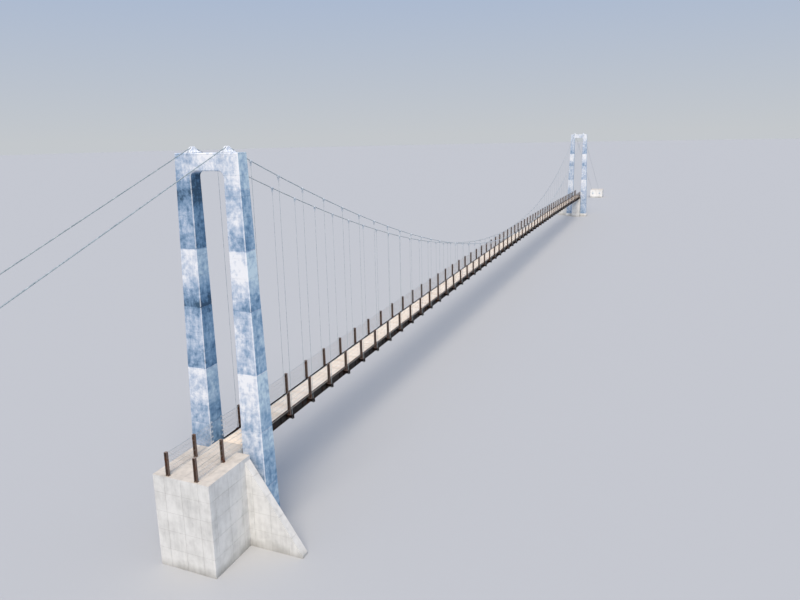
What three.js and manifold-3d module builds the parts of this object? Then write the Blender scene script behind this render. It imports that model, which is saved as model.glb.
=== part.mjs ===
// Suspension footbridge with two concrete portal towers, a scale model at 1:10.
// Millimetres of the model, so a real size is ten times each value. X runs along the
// span from the near bank to the far bank, Y to the left, Z up. The origin is on the
// floor under the middle of the span.
import * as THREE from 'three';
import { mergeVertices } from 'three/addons/utils/BufferGeometryUtils.js';
import Module from 'manifold-3d';

const wasm = await Module();
wasm.setup();

// Gap left between pieces that rest on each other, and the overlap of shapes joined into one
const SEAT_GAP = 0.3;
const JOIN_OVERLAP = 1;

// Span and hangers
const BAY = 220;
const HANGERS = 57;
const END_BAY = 164;
const SPAN = (HANGERS - 1) * BAY + 2 * END_BAY;
const TOWER_X = SPAN / 2;

// Walkway
const DECK_LEVEL = 440;
const DECK_CAMBER = 58;
const BOARD_WIDTH = 128;
const BOARD_THICK = 5;
const SECTIONS = 3;
const SECTION_JOINT = 3;
const DECK_END_GAP = 13;
const GIRDER_Y = 56;
const GIRDER_WIDTH = 9;
const GIRDER_DEPTH = 45;
const CROSS_BEAM_LENGTH = 204;
const CROSS_BEAM_WIDTH = 12;
const CROSS_BEAM_DEPTH = 16;
const CROSS_BEAM_DROP = 18;

// Railings
const RAIL_Y = 76;
const RAIL_HEIGHT = 110;
const POST_WIDTH = 12.5;
const CHORD_THICK = 4;
const CHORD_DEPTH = 5;
const LANDING_POST_INSET = 8;

// Main cables and hangers
const CABLE_Y = 93;
const CABLE_RADIUS = 2.5;
const CABLE_SIDES = 6;
const CABLE_LOW = 598;
const CABLE_HIGH = 1826;
const HANGER_THICK = 3;
const BACKSTAY_SLOPE = 0.39;

// Towers
const TOWER_TOP = 1806;
const LEG_INNER = 88;
const LEG_OUTER_TOP = 168;
const LEG_OUTER_FOOT = 212;
const LEG_DEPTH_TOP = 68;
const LEG_DEPTH_FOOT = 104;
const LEG_CHAMFER = 3.5;
const BEAM_DEPTH = 78;
const HAUNCH_RADIUS = 28;
const HAUNCH_STEPS = 6;
const PLINTH_HEIGHT = 60;
const PLINTH_MARGIN = 20;
const PLINTH_BATTER = 8;

// Saddles
const SADDLE_FOOT_WIDTH = 42;
const SADDLE_TOP_WIDTH = 18;
const SADDLE_LENGTH = 62;
const SADDLE_END_HEIGHT = 7;
const SADDLE_CHEEK_REACH = 10;
const SADDLE_CHEEK_RISE = 5;
const SADDLE_PLATE_WIDTH = 46;
const SADDLE_PLATE_THICK = 4;
const SADDLE_RADIUS = 90;
const SADDLE_STEPS = 6;
const GROOVE_ANGLE = Math.PI / 6;

// Abutments, in each tower's own x, which grows towards the river
const LANDING_BACK = -370;
const LANDING_FRONT = -78;
const LANDING_HALF_WIDTH = 150;
const STEM_HALF_WIDTH = 82;
const STEM_TOP_FRONT = 75;
const STEM_FOOT_FRONT = 165;
const BACK_WALL_FRONT = 10;
const WING_REACH = 280;
const WING_THICK = 40;
const WING_TOP_DROP = 20;
const WING_TIP = 12;

// Anchor blocks
const ANCHOR_HEIGHT = 220;
const ANCHOR_LENGTH = 440;
const ANCHOR_HALF_WIDTH = 165;
const ANCHOR_TOE = 40;
const SOCKET_PLATE = 50;
const SOCKET_PLATE_THICK = 6;
const SOCKET_LENGTH = 40;
const SOCKET_BIG_RADIUS = 9.5;
const SOCKET_SMALL_RADIUS = 5;
const SOCKET_SIDES = 12;

// Surfaces
const towerConcrete = new THREE.MeshStandardMaterial({ color: 0xbfcfe6, roughness: 0.85, metalness: 0 });
const cableSteel = new THREE.MeshStandardMaterial({ color: 0xb9c8d4, roughness: 0.45, metalness: 0.7 });
const darkSteel = new THREE.MeshStandardMaterial({ color: 0x2f1d17, roughness: 0.7, metalness: 0.3 });
const railSteel = new THREE.MeshStandardMaterial({ color: 0x5c4436, roughness: 0.7, metalness: 0.3 });
const deckWood = new THREE.MeshStandardMaterial({ color: 0xe7dfd7, roughness: 0.85, metalness: 0 });
const concrete = new THREE.MeshStandardMaterial({ color: 0xd9dad8, roughness: 0.9, metalness: 0 });

const bridge = new THREE.Group();

// Height of the boards' walking surface at x
function deckTop(x) {
  return DECK_LEVEL + DECK_CAMBER * (1 - (x / TOWER_X) ** 2);
}

// Height of the main cable's centre at x, between the towers
function cableHeight(x) {
  return CABLE_LOW + (CABLE_HIGH - CABLE_LOW) * (x / TOWER_X) ** 2;
}

// Place of hanger number i along the span
function hangerX(i) {
  return (i - (HANGERS - 1) / 2) * BAY;
}

function toSolid(geometry) {
  const plain = geometry.clone();
  plain.deleteAttribute('normal');
  plain.deleteAttribute('uv');
  const merged = mergeVertices(plain, 1e-4);
  return new wasm.Manifold(new wasm.Mesh({
    numProp: 3,
    vertProperties: new Float32Array(merged.attributes.position.array),
    triVerts: new Uint32Array(merged.index.array),
  }));
}

function toGeometry(solid) {
  const mesh = solid.getMesh();
  const geometry = new THREE.BufferGeometry();
  geometry.setAttribute('position', new THREE.BufferAttribute(new Float32Array(mesh.vertProperties), 3));
  geometry.setIndex(new THREE.BufferAttribute(new Uint32Array(mesh.triVerts), 1));
  geometry.computeVertexNormals();
  return geometry;
}

function joined(geometries) {
  const solids = geometries.map(toSolid);
  return toGeometry(solids.reduce((whole, solid) => whole.add(solid)));
}

function addPart(name, geometry, material, parent = bridge) {
  const mesh = new THREE.Mesh(geometry, material);
  mesh.name = name;
  parent.add(mesh);
  return mesh;
}

// Box between two corners
function block(x0, x1, y0, y1, z0, z1) {
  const box = new THREE.BoxGeometry(x1 - x0, y1 - y0, z1 - z0);
  return box.translate((x0 + x1) / 2, (y0 + y1) / 2, (z0 + z1) / 2);
}

// Prism whose outline changes evenly from the foot to the top
function taperedPrism(foot, top, z0, z1) {
  const prism = new THREE.ExtrudeGeometry(new THREE.Shape(foot), { depth: 1, bevelEnabled: false });
  const points = prism.attributes.position;
  for (let i = 0; i < points.count; i += 1) {
    const x = points.getX(i);
    const y = points.getY(i);
    const corner = foot.findIndex((p) => Math.hypot(p.x - x, p.y - y) < 1e-3);
    const level = points.getZ(i) < 0.5 ? foot[corner] : top[corner];
    points.setXYZ(i, level.x, level.y, points.getZ(i) < 0.5 ? z0 : z1);
  }
  return prism;
}

// Rectangle with its corners cut off, between x = -half and half, y0 and y1
function chamferedOutline(half, y0, y1, chamfer) {
  return [
    new THREE.Vector2(-half + chamfer, y0),
    new THREE.Vector2(half - chamfer, y0),
    new THREE.Vector2(half, y0 + chamfer),
    new THREE.Vector2(half, y1 - chamfer),
    new THREE.Vector2(half - chamfer, y1),
    new THREE.Vector2(-half + chamfer, y1),
    new THREE.Vector2(-half, y1 - chamfer),
    new THREE.Vector2(-half, y0 + chamfer),
  ];
}

// Outline in X and Z, extruded across Y from y0 to y1
function sidePlate(points, y0, y1, holes = []) {
  const shape = new THREE.Shape(points);
  holes.forEach((hole) => shape.holes.push(new THREE.Path(hole)));
  const plate = new THREE.ExtrudeGeometry(shape, { depth: y1 - y0, bevelEnabled: false });
  return plate.rotateX(Math.PI / 2).translate(0, y1, 0);
}

// Outline in Y and Z, extruded along X from x0 to x1
function crossPlate(shape, x0, x1) {
  const plate = new THREE.ExtrudeGeometry(shape, { depth: x1 - x0, bevelEnabled: false });
  return plate.rotateX(Math.PI / 2).rotateZ(Math.PI / 2).translate(x0, 0, 0);
}

// Strip that follows the deck's camber between two stations, at an offset below it
function camberedStrip(stations, topDrop, bottomDrop, y0, y1) {
  const upper = stations.map((x) => new THREE.Vector2(x, deckTop(x) - topDrop));
  const lower = stations.map((x) => new THREE.Vector2(x, deckTop(x) - bottomDrop));
  return sidePlate([...lower, ...upper.reverse()], y0, y1);
}

// Route through fixed points, with a ring of the tube at each of them
class Route extends THREE.Curve {
  constructor(points) {
    super();
    this.points = points;
  }

  getPoint(t) {
    const place = Math.min(Math.max(t, 0), 1) * (this.points.length - 1);
    const i = Math.min(Math.floor(place), this.points.length - 2);
    return this.points[i].clone().lerp(this.points[i + 1], place - i);
  }

  getPointAt(u) {
    return this.getPoint(u);
  }

  getTangentAt(u) {
    return this.getTangent(u);
  }
}

function tubeAlong(points, radius, sides) {
  const ring = new THREE.Shape();
  for (let i = 0; i < sides; i += 1) {
    const angle = (2 * Math.PI * (i + 0.5)) / sides;
    const x = radius * Math.cos(angle);
    const y = radius * Math.sin(angle);
    if (i === 0) ring.moveTo(x, y);
    else ring.lineTo(x, y);
  }
  return new THREE.ExtrudeGeometry(ring, { steps: points.length - 1, extrudePath: new Route(points) });
}

// Walkway: one frame, one run of boards and two railings for each section
const deckEnd = TOWER_X - DECK_END_GAP;
const perSection = HANGERS / SECTIONS;
const sectionNames = ['near', 'middle', 'far'];

function sectionSpan(n) {
  const first = n * perSection;
  const last = first + perSection - 1;
  const start = n === 0 ? -deckEnd : hangerX(first) - BAY / 2 + SECTION_JOINT / 2;
  const end = n === SECTIONS - 1 ? deckEnd : hangerX(last) + BAY / 2 - SECTION_JOINT / 2;
  const stations = [];
  for (let i = first; i <= last; i += 1) stations.push(hangerX(i));
  return { start, end, stations };
}

function floorFrame({ start, end, stations }) {
  const line = [start, ...stations, end];
  const topDrop = BOARD_THICK + SEAT_GAP;
  const pieces = [-1, 1].map((side) => {
    const y = side * GIRDER_Y;
    return camberedStrip(line, topDrop, topDrop + GIRDER_DEPTH, y - GIRDER_WIDTH / 2, y + GIRDER_WIDTH / 2);
  });
  stations.forEach((x) => {
    const top = deckTop(x) - CROSS_BEAM_DROP;
    pieces.push(block(x - CROSS_BEAM_WIDTH / 2, x + CROSS_BEAM_WIDTH / 2,
      -CROSS_BEAM_LENGTH / 2, CROSS_BEAM_LENGTH / 2, top - CROSS_BEAM_DEPTH, top));
  });
  return joined(pieces);
}

function boards({ start, end, stations }) {
  return camberedStrip([start, ...stations, end], 0, BOARD_THICK, -BOARD_WIDTH / 2, BOARD_WIDTH / 2);
}

// Post of a railing, standing at x between two heights
function post(x, y, z0, z1) {
  const half = POST_WIDTH / 2;
  return block(x - half, x + half, y - half, y + half, z0, z1);
}

// Railing with a post at every station, on the cross beams' ends. The two chords stand for
// its ropes and net, and a thin bar closes them at each end of the section.
function railing({ start, end, stations }, side) {
  const foot = CROSS_BEAM_DROP - SEAT_GAP;
  const line = [start, ...stations, end];
  const y = side * RAIL_Y;
  const y0 = y - CHORD_THICK / 2;
  const y1 = y + CHORD_THICK / 2;
  const pieces = [
    camberedStrip(line, foot - CHORD_DEPTH, foot, y0, y1),
    camberedStrip(line, -RAIL_HEIGHT, CHORD_DEPTH - RAIL_HEIGHT, y0, y1),
  ];
  [start, end - CHORD_DEPTH].forEach((x) => {
    const z0 = deckTop(x) - foot + JOIN_OVERLAP;
    const z1 = deckTop(x) + RAIL_HEIGHT - JOIN_OVERLAP;
    pieces.push(block(x, x + CHORD_DEPTH, y0, y1, z0, z1));
  });
  stations.forEach((x) => pieces.push(post(x, y, deckTop(x) - foot, deckTop(x) + RAIL_HEIGHT)));
  return joined(pieces);
}

for (let n = 0; n < SECTIONS; n += 1) {
  const section = sectionSpan(n);
  addPart(`${sectionNames[n]}_floor_frame`, floorFrame(section), darkSteel);
  addPart(`${sectionNames[n]}_deck_boards`, boards(section), deckWood);
  addPart(`${sectionNames[n]}_railing_left`, railing(section, 1), railSteel);
  addPart(`${sectionNames[n]}_railing_right`, railing(section, -1), railSteel);
}

// Main cables, from anchor to anchor, with the hangers hung from them
const anchorFaceTop = new THREE.Vector2(-BACKSTAY_SLOPE * (ANCHOR_HEIGHT - ANCHOR_TOE), ANCHOR_HEIGHT);
const cableDirection = new THREE.Vector2(1, BACKSTAY_SLOPE).normalize();
const socketSeat = new THREE.Vector2(anchorFaceTop.x / 2, (ANCHOR_HEIGHT + ANCHOR_TOE) / 2);
const socketReach = SOCKET_PLATE_THICK + SOCKET_LENGTH;
const cableEnd = socketSeat.clone().addScaledVector(cableDirection, socketReach + 2 * SEAT_GAP);

// The backstay's run from the saddle's middle to its socket
const backstayRun = (CABLE_HIGH - cableEnd.y) / BACKSTAY_SLOPE;
const anchorX = TOWER_X + backstayRun + cableEnd.x;

// Centre line of a main cable: from its socket over the saddle's bend, by every hanger, and
// the same on the far side
function cableRoute(y) {
  const backAngle = Math.atan(BACKSTAY_SLOPE);
  const spanAngle = Math.atan((CABLE_HIGH - cableHeight(hangerX(0))) / END_BAY);
  const nearHalf = [[-TOWER_X - backstayRun, cableEnd.y]];
  for (let i = 0; i <= SADDLE_STEPS; i += 1) {
    const angle = backAngle - ((backAngle + spanAngle) * i) / SADDLE_STEPS;
    const x = -TOWER_X - SADDLE_RADIUS * Math.sin(angle);
    nearHalf.push([x, CABLE_HIGH - SADDLE_RADIUS * (1 - Math.cos(angle))]);
  }
  const hung = [];
  for (let i = 0; i < HANGERS; i += 1) hung.push([hangerX(i), cableHeight(hangerX(i))]);
  const farHalf = nearHalf.map(([x, z]) => [-x, z]).reverse();
  return [...nearHalf, ...hung, ...farHalf].map(([x, z]) => new THREE.Vector3(x, y, z));
}

function mainCable(y) {
  const pieces = [tubeAlong(cableRoute(y), CABLE_RADIUS, CABLE_SIDES)];
  for (let i = 0; i < HANGERS; i += 1) {
    const x = hangerX(i);
    const foot = deckTop(x) - CROSS_BEAM_DROP + SEAT_GAP;
    pieces.push(block(x - HANGER_THICK / 2, x + HANGER_THICK / 2,
      y - HANGER_THICK / 2, y + HANGER_THICK / 2, foot, cableHeight(x)));
  }
  return joined(pieces);
}

addPart('main_cable_left', mainCable(CABLE_Y), cableSteel);
addPart('main_cable_right', mainCable(-CABLE_Y), cableSteel);

// Everything at one bank, drawn for the near bank and turned half round for the far one
function bankPieces(bank) {
  const group = new THREE.Group();
  const leftName = bank === 'near' ? 'left' : 'right';
  const rightName = bank === 'near' ? 'right' : 'left';
  const sides = [[leftName, 1], [rightName, -1]];

  sides.forEach(([name, side]) => {
    addPart(`${bank}_tower_leg_${name}`, towerLeg(side), towerConcrete, group);
    addPart(`${bank}_tower_plinth_${name}`, plinth(side), concrete, group);
    addPart(`${bank}_saddle_${name}`, saddle(side), cableSteel, group);
    addPart(`${bank}_anchor_socket_${name}`, anchorSocket(side), cableSteel, group);
    addPart(`${bank}_landing_rail_${name}`, landingRail(side), railSteel, group);
  });
  addPart(`${bank}_tower_top_beam`, topBeam(), towerConcrete, group);
  addPart(`${bank}_abutment`, abutment(), concrete, group);
  addPart(`${bank}_wing_wall`, wingWall(-1), concrete, group);
  addPart(`${bank}_anchor_block`, anchorBlock(), concrete, group);
  return group;
}

// Tapered prism on one side of the walkway, its inner and outer faces given for the left side
function sidePrism(side, chamfer, foot, top, z0, z1) {
  const outlines = [foot, top].map(({ half, inner, outer }) => {
    const y0 = side > 0 ? inner : -outer;
    const y1 = side > 0 ? outer : -inner;
    return chamferedOutline(half, y0, y1, chamfer);
  });
  return taperedPrism(outlines[0], outlines[1], z0, z1);
}

function towerLeg(side) {
  const foot = { half: LEG_DEPTH_FOOT / 2, inner: LEG_INNER, outer: LEG_OUTER_FOOT };
  const top = { half: LEG_DEPTH_TOP / 2, inner: LEG_INNER, outer: LEG_OUTER_TOP };
  return sidePrism(side, LEG_CHAMFER, foot, top, PLINTH_HEIGHT + SEAT_GAP, TOWER_TOP);
}

function plinth(side) {
  const half = LEG_DEPTH_FOOT / 2 + PLINTH_MARGIN;
  const inner = STEM_HALF_WIDTH + SEAT_GAP;
  const outer = LEG_OUTER_FOOT + PLINTH_MARGIN;
  const foot = { half, inner, outer };
  const top = { half: half - PLINTH_BATTER, inner, outer: outer - PLINTH_BATTER };
  return sidePrism(side, LEG_CHAMFER, foot, top, 0, PLINTH_HEIGHT);
}

// Top beam between the legs, with a round haunch in each lower corner
function topBeam() {
  const half = LEG_INNER - SEAT_GAP;
  const bottom = TOWER_TOP - BEAM_DEPTH;
  const shape = new THREE.Shape();
  shape.moveTo(-half, TOWER_TOP);
  shape.lineTo(-half, bottom - HAUNCH_RADIUS);
  for (let i = 1; i <= HAUNCH_STEPS; i += 1) {
    const angle = (Math.PI / 2) * (i / HAUNCH_STEPS);
    shape.lineTo(-half + HAUNCH_RADIUS * (1 - Math.cos(angle)), bottom - HAUNCH_RADIUS * (1 - Math.sin(angle)));
  }
  for (let i = 0; i <= HAUNCH_STEPS; i += 1) {
    const angle = (Math.PI / 2) * (1 - i / HAUNCH_STEPS);
    shape.lineTo(half - HAUNCH_RADIUS * (1 - Math.cos(angle)), bottom - HAUNCH_RADIUS * (1 - Math.sin(angle)));
  }
  shape.lineTo(half, TOWER_TOP);
  return crossPlate(shape, -LEG_DEPTH_TOP / 2, LEG_DEPTH_TOP / 2);
}

// Saddle casting on the tower's top: a foot plate and an arched body, narrower towards its top
// and grooved for the cable
function saddle(side) {
  const z0 = TOWER_TOP + SEAT_GAP;
  const top = CABLE_HIGH + SADDLE_CHEEK_RISE;
  const arch = (x) => top + Math.sqrt(SADDLE_RADIUS ** 2 - x ** 2) - SADDLE_RADIUS;
  const outline = [
    new THREE.Vector2(-SADDLE_LENGTH / 2, z0),
    new THREE.Vector2(SADDLE_LENGTH / 2, z0),
    new THREE.Vector2(SADDLE_LENGTH / 2, z0 + SADDLE_END_HEIGHT),
  ];
  for (let i = SADDLE_STEPS; i >= -SADDLE_STEPS; i -= 2) {
    const x = (SADDLE_CHEEK_REACH * i) / SADDLE_STEPS;
    outline.push(new THREE.Vector2(x, arch(x)));
  }
  outline.push(new THREE.Vector2(-SADDLE_LENGTH / 2, z0 + SADDLE_END_HEIGHT));
  const arched = sidePlate(outline, -SADDLE_FOOT_WIDTH / 2, SADDLE_FOOT_WIDTH / 2);
  const tapered = crossPlate(new THREE.Shape([
    new THREE.Vector2(-SADDLE_FOOT_WIDTH / 2, z0),
    new THREE.Vector2(SADDLE_FOOT_WIDTH / 2, z0),
    new THREE.Vector2(SADDLE_FOOT_WIDTH / 2, z0 + SADDLE_PLATE_THICK),
    new THREE.Vector2(SADDLE_TOP_WIDTH / 2, top),
    new THREE.Vector2(-SADDLE_TOP_WIDTH / 2, top),
    new THREE.Vector2(-SADDLE_FOOT_WIDTH / 2, z0 + SADDLE_PLATE_THICK),
  ]), -SADDLE_LENGTH / 2, SADDLE_LENGTH / 2);
  const plate = block(-SADDLE_LENGTH / 2, SADDLE_LENGTH / 2,
    -SADDLE_PLATE_WIDTH / 2, SADDLE_PLATE_WIDTH / 2, z0, z0 + SADDLE_PLATE_THICK);
  const grooveRadius = CABLE_RADIUS + SEAT_GAP;
  const bend = [];
  for (let i = -SADDLE_STEPS; i <= SADDLE_STEPS; i += 1) {
    const angle = (GROOVE_ANGLE * i) / SADDLE_STEPS;
    const x = SADDLE_RADIUS * Math.sin(angle);
    bend.push(new THREE.Vector3(x, 0, CABLE_HIGH + SADDLE_RADIUS * (Math.cos(angle) - 1)));
  }
  const bed = toSolid(tubeAlong(bend, grooveRadius, CABLE_SIDES));
  const mouth = bend.map((p) => new THREE.Vector3(p.x, 0, p.z + grooveRadius));
  const slot = toSolid(tubeAlong(mouth, grooveRadius, CABLE_SIDES));
  const body = toSolid(arched).intersect(toSolid(tapered));
  const whole = body.add(toSolid(plate));
  return toGeometry(whole.subtract(bed).subtract(slot)).translate(0, side * CABLE_Y, 0);
}

// Landing behind the tower, with a stem between the legs that carries the deck's end
function abutment() {
  const shelf = DECK_LEVEL - BOARD_THICK - SEAT_GAP - GIRDER_DEPTH - SEAT_GAP;
  const stem = sidePlate([
    new THREE.Vector2(LANDING_FRONT - JOIN_OVERLAP, 0),
    new THREE.Vector2(STEM_FOOT_FRONT, 0),
    new THREE.Vector2(STEM_TOP_FRONT, shelf),
    new THREE.Vector2(BACK_WALL_FRONT, shelf),
    new THREE.Vector2(BACK_WALL_FRONT, DECK_LEVEL),
    new THREE.Vector2(LANDING_FRONT - JOIN_OVERLAP, DECK_LEVEL),
  ], -STEM_HALF_WIDTH, STEM_HALF_WIDTH);
  const landing = block(LANDING_BACK, LANDING_FRONT, -LANDING_HALF_WIDTH, LANDING_HALF_WIDTH, 0, DECK_LEVEL);
  return joined([stem, landing]);
}

// Wing wall beside the landing, its top sloping down to the ground
function wingWall(side) {
  const inner = LANDING_HALF_WIDTH + SEAT_GAP;
  const outline = new THREE.Shape([
    new THREE.Vector2(side * inner, 0),
    new THREE.Vector2(side * (inner + WING_REACH), 0),
    new THREE.Vector2(side * (inner + WING_REACH), WING_TIP),
    new THREE.Vector2(side * inner, DECK_LEVEL - WING_TOP_DROP),
  ]);
  return crossPlate(outline, LANDING_FRONT - WING_THICK, LANDING_FRONT);
}

// Railing on the landing, with a post at its back end and one halfway to the tower
function landingRail(side) {
  const back = LANDING_BACK + LANDING_POST_INSET;
  const front = BACK_WALL_FRONT;
  const foot = DECK_LEVEL + SEAT_GAP;
  const top = DECK_LEVEL + RAIL_HEIGHT;
  const y = side * RAIL_Y;
  const y0 = y - CHORD_THICK / 2;
  const y1 = y + CHORD_THICK / 2;
  return joined([
    block(back, front, y0, y1, foot, foot + CHORD_DEPTH),
    block(back, front, y0, y1, top - CHORD_DEPTH, top),
    block(front - CHORD_DEPTH, front, y0, y1, foot + JOIN_OVERLAP, top - JOIN_OVERLAP),
    post(back + POST_WIDTH / 2, y, foot, top),
    post((back + front) / 2, y, foot, top),
  ]);
}

// Anchor block, its sloping face square to the backstays
function anchorBlock() {
  const x = TOWER_X - anchorX;
  return sidePlate([
    new THREE.Vector2(x - ANCHOR_LENGTH, 0),
    new THREE.Vector2(x, 0),
    new THREE.Vector2(x, ANCHOR_TOE),
    new THREE.Vector2(x + anchorFaceTop.x, anchorFaceTop.y),
    new THREE.Vector2(x - ANCHOR_LENGTH, ANCHOR_HEIGHT),
  ], -ANCHOR_HALF_WIDTH, ANCHOR_HALF_WIDTH);
}

// Cable socket bolted to the anchor block's sloping face
function anchorSocket(side) {
  const half = SOCKET_PLATE / 2;
  const plate = block(-half, half, -half, half, SEAT_GAP, SOCKET_PLATE_THICK);
  const profile = [
    new THREE.Vector2(0, SOCKET_PLATE_THICK - JOIN_OVERLAP),
    new THREE.Vector2(SOCKET_BIG_RADIUS, SOCKET_PLATE_THICK - JOIN_OVERLAP),
    new THREE.Vector2(SOCKET_BIG_RADIUS, SOCKET_PLATE_THICK + SOCKET_LENGTH / 2),
    new THREE.Vector2(SOCKET_SMALL_RADIUS, socketReach),
    new THREE.Vector2(0, socketReach),
  ];
  const cone = new THREE.LatheGeometry(profile, SOCKET_SIDES).rotateX(Math.PI / 2);
  const socket = joined([plate, cone]);
  const tilt = Math.PI / 2 - Math.atan(BACKSTAY_SLOPE);
  const x = TOWER_X - anchorX + socketSeat.x;
  return socket.rotateY(tilt).translate(x, side * CABLE_Y, socketSeat.y);
}

const nearBank = bankPieces('near');
nearBank.position.x = -TOWER_X;
bridge.add(nearBank);

const farBank = bankPieces('far');
farBank.position.x = TOWER_X;
farBank.rotation.z = Math.PI;
bridge.add(farBank);

export default bridge;
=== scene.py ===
# %% [markdown]
# # A suspension footbridge at one tenth of its size
#
# The real bridge crosses a valley in one span of 126 metres. Two concrete portals carry a
# pair of wire ropes, thin rods hang from the ropes, and steel cross beams on the rods
# carry a floor of pale planks between two railings. The solid model comes in first, as a
# fixed frame, and every piece made here goes where that frame says.

# %% Load the frame
import math
from functools import partial
from itertools import product

import bmesh
import bpy
import numpy as np
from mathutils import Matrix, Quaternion, Vector


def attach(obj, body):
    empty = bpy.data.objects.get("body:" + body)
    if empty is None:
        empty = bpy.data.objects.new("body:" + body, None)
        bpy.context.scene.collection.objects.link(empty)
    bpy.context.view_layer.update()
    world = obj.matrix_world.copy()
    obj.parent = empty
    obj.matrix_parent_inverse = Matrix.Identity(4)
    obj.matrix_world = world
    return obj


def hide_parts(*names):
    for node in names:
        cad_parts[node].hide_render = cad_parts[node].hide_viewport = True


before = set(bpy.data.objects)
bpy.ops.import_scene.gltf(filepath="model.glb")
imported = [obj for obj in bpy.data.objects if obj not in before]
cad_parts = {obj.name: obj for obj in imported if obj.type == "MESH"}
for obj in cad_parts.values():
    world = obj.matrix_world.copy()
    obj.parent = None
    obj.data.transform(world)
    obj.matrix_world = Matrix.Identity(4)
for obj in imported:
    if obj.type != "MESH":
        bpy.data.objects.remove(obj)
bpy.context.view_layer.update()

# %% [markdown]
# ## Sizes
#
# All shapes below are worked out in millimetres of the model, so a real size is ten times
# each value. The walkway is slightly arched and the main ropes hang in a parabola. Points
# could be measured one by one, but one function for each of these curves is enough to
# place nearly everything.

# %% The bridge's driving sizes, in millimetres of the model
MM = 0.001
TENTH = 0.1
BAY = 220
HANGERS = 57
END_BAY = 164
TOWER_X = ((HANGERS - 1) * BAY + 2 * END_BAY) / 2
DECK_LEVEL = 440
DECK_CAMBER = 58
CABLE_LOW = 598
CABLE_HIGH = 1826
CABLE_Y = 93
CROSS_BEAM_DROP = 18
CROSS_BEAM_DEPTH = 16
RAIL_Y = 76
SIDES = {"left": 1, "right": -1}
BANKS = {"near": -1, "far": 1}

hanger_places = [(i - (HANGERS - 1) / 2) * BAY for i in range(HANGERS)]


def deck_top(x):
    """Height of the planks' upper face at x."""
    return DECK_LEVEL + DECK_CAMBER * (1 - (x / TOWER_X) ** 2)


def cable_height(x):
    """Height of the main rope's centre at x, between the towers."""
    return CABLE_LOW + (CABLE_HIGH - CABLE_LOW) * (x / TOWER_X) ** 2


def cable_slope(x):
    """Rise of the main rope for each millimetre along the span."""
    return 2 * (CABLE_HIGH - CABLE_LOW) * x / TOWER_X**2


print("span", 2 * TOWER_X, "mm, middle of the deck at", deck_top(0), "mm")

# %% [markdown]
# ## The camera
#
# The photograph was taken from the near bank, beside and a little above the near tower,
# looking down the bridge. The camera could be moved by eye until the view fits. Here its
# place, heading, fall and lean were worked out from the hangers, posts and tower edges
# that can be told apart in the picture, which is more exact. The picture's own middle
# lies 29 pixels above the middle of the frame, and the lens shift says so.

# %% Place the camera
FRAME_WIDTH_PX = 800
FOCAL_PX = 643.6
PICTURE_MIDDLE_ABOVE_PX = 29
SENSOR_WIDTH = 36.0
FARTHEST_SEEN = 400
camera_data = bpy.data.cameras.new("camera")
camera_data.sensor_width = SENSOR_WIDTH
camera_data.lens = SENSOR_WIDTH * FOCAL_PX / FRAME_WIDTH_PX
camera_data.shift_y = -PICTURE_MIDDLE_ABOVE_PX / FRAME_WIDTH_PX
camera_data.clip_end = FARTHEST_SEEN
camera = bpy.data.objects.new("camera", camera_data)
bpy.context.scene.collection.objects.link(camera)
bpy.context.scene.camera = camera

heading = math.radians(22.513)
fall = math.radians(11.882)
lean = math.radians(-1.2)
forward = Vector((
    math.cos(heading) * math.cos(fall),
    math.sin(heading) * math.cos(fall),
    -math.sin(fall),
))
camera.location = (-8.6466, -1.8474, 1.8619)
camera.rotation_mode = "QUATERNION"
camera.rotation_quaternion = forward.to_track_quat("-Z", "Y") @ Quaternion((0, 0, 1), lean)
print("lens", round(camera_data.lens, 2), "mm, at", [round(v, 2) for v in camera.location])

# %% [markdown]
# ## Colours and nodes
#
# Colours are picked as sRGB codes, as they are read off a picture, but shaders count in
# linear light, so one function turns them. A node tree could be wired by hand in the
# shader editor. Wired in code it can be read from top to bottom, and one small function
# that adds a node with its settings, values and links is all that this takes.

# %% Two helpers, for colours and for nodes


def linear(code):
    """Linear red, green, blue and alpha of an sRGB hex colour."""
    parts = [int(code[i:i + 2], 16) / 255 for i in (1, 3, 5)]
    return (*[c / 12.92 if c <= 0.04045 else ((c + 0.055) / 1.055) ** 2.4 for c in parts], 1.0)


def add_node(tree, kind, settings=None, inputs=None):
    """Node of a kind, with its own settings, and its inputs set or linked to a node or socket."""
    node = tree.nodes.new("ShaderNode" + kind)
    for name, value in (settings or {}).items():
        if name != "stops":
            setattr(node, name, value)
            continue
        row = node.color_ramp.elements
        while len(row) < len(value):
            row.new(1.0)
        for element, (position, code) in zip(row, value):
            element.position = position
            element.color = linear(code)
    for name, value in (inputs or {}).items():
        socket = node.inputs[name] if isinstance(name, int) else next(
            s for s in node.inputs if s.name == name and s.enabled)
        if isinstance(value, bpy.types.Node):
            value = next(s for s in value.outputs if s.enabled)
        if isinstance(value, bpy.types.NodeSocket):
            tree.links.new(value, socket)
        else:
            socket.default_value = value
    return node


print("half of sRGB's white is", round(linear("#808080")[0], 3), "of its light")

# %% [markdown]
# ## Light and floor
#
# A plain studio: a wide soft lamp high behind the camera, a pale sky that fills the
# shadows a little blue, and a pale matt floor. An area lamp would do for a small piece,
# but for a model of 22 metres it would have to be huge, so the lamp is a sun whose wide
# disc gives shadows the same soft edge.

# %% The studio's sky
world = bpy.data.worlds.new("studio_sky")
world.use_nodes = True
world.node_tree.nodes.clear()
add = partial(add_node, world.node_tree)
upward = add("SeparateXYZ", None, {0: add("TexCoord").outputs["Generated"]}).outputs["Z"]
sky_tint = add("ValToRGB", {"stops": [
    (0.0, "#C4C8CC"), (0.25, "#A4B6D2"), (1.0, "#93ABD0")]}, {0: upward})
sky = add("Background", None, {"Color": sky_tint})
add("OutputWorld", None, {"Surface": sky})
bpy.context.scene.world = world
bpy.context.scene.view_settings.view_transform = "Standard"
print("sky of", len(world.node_tree.nodes), "nodes")

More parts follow.
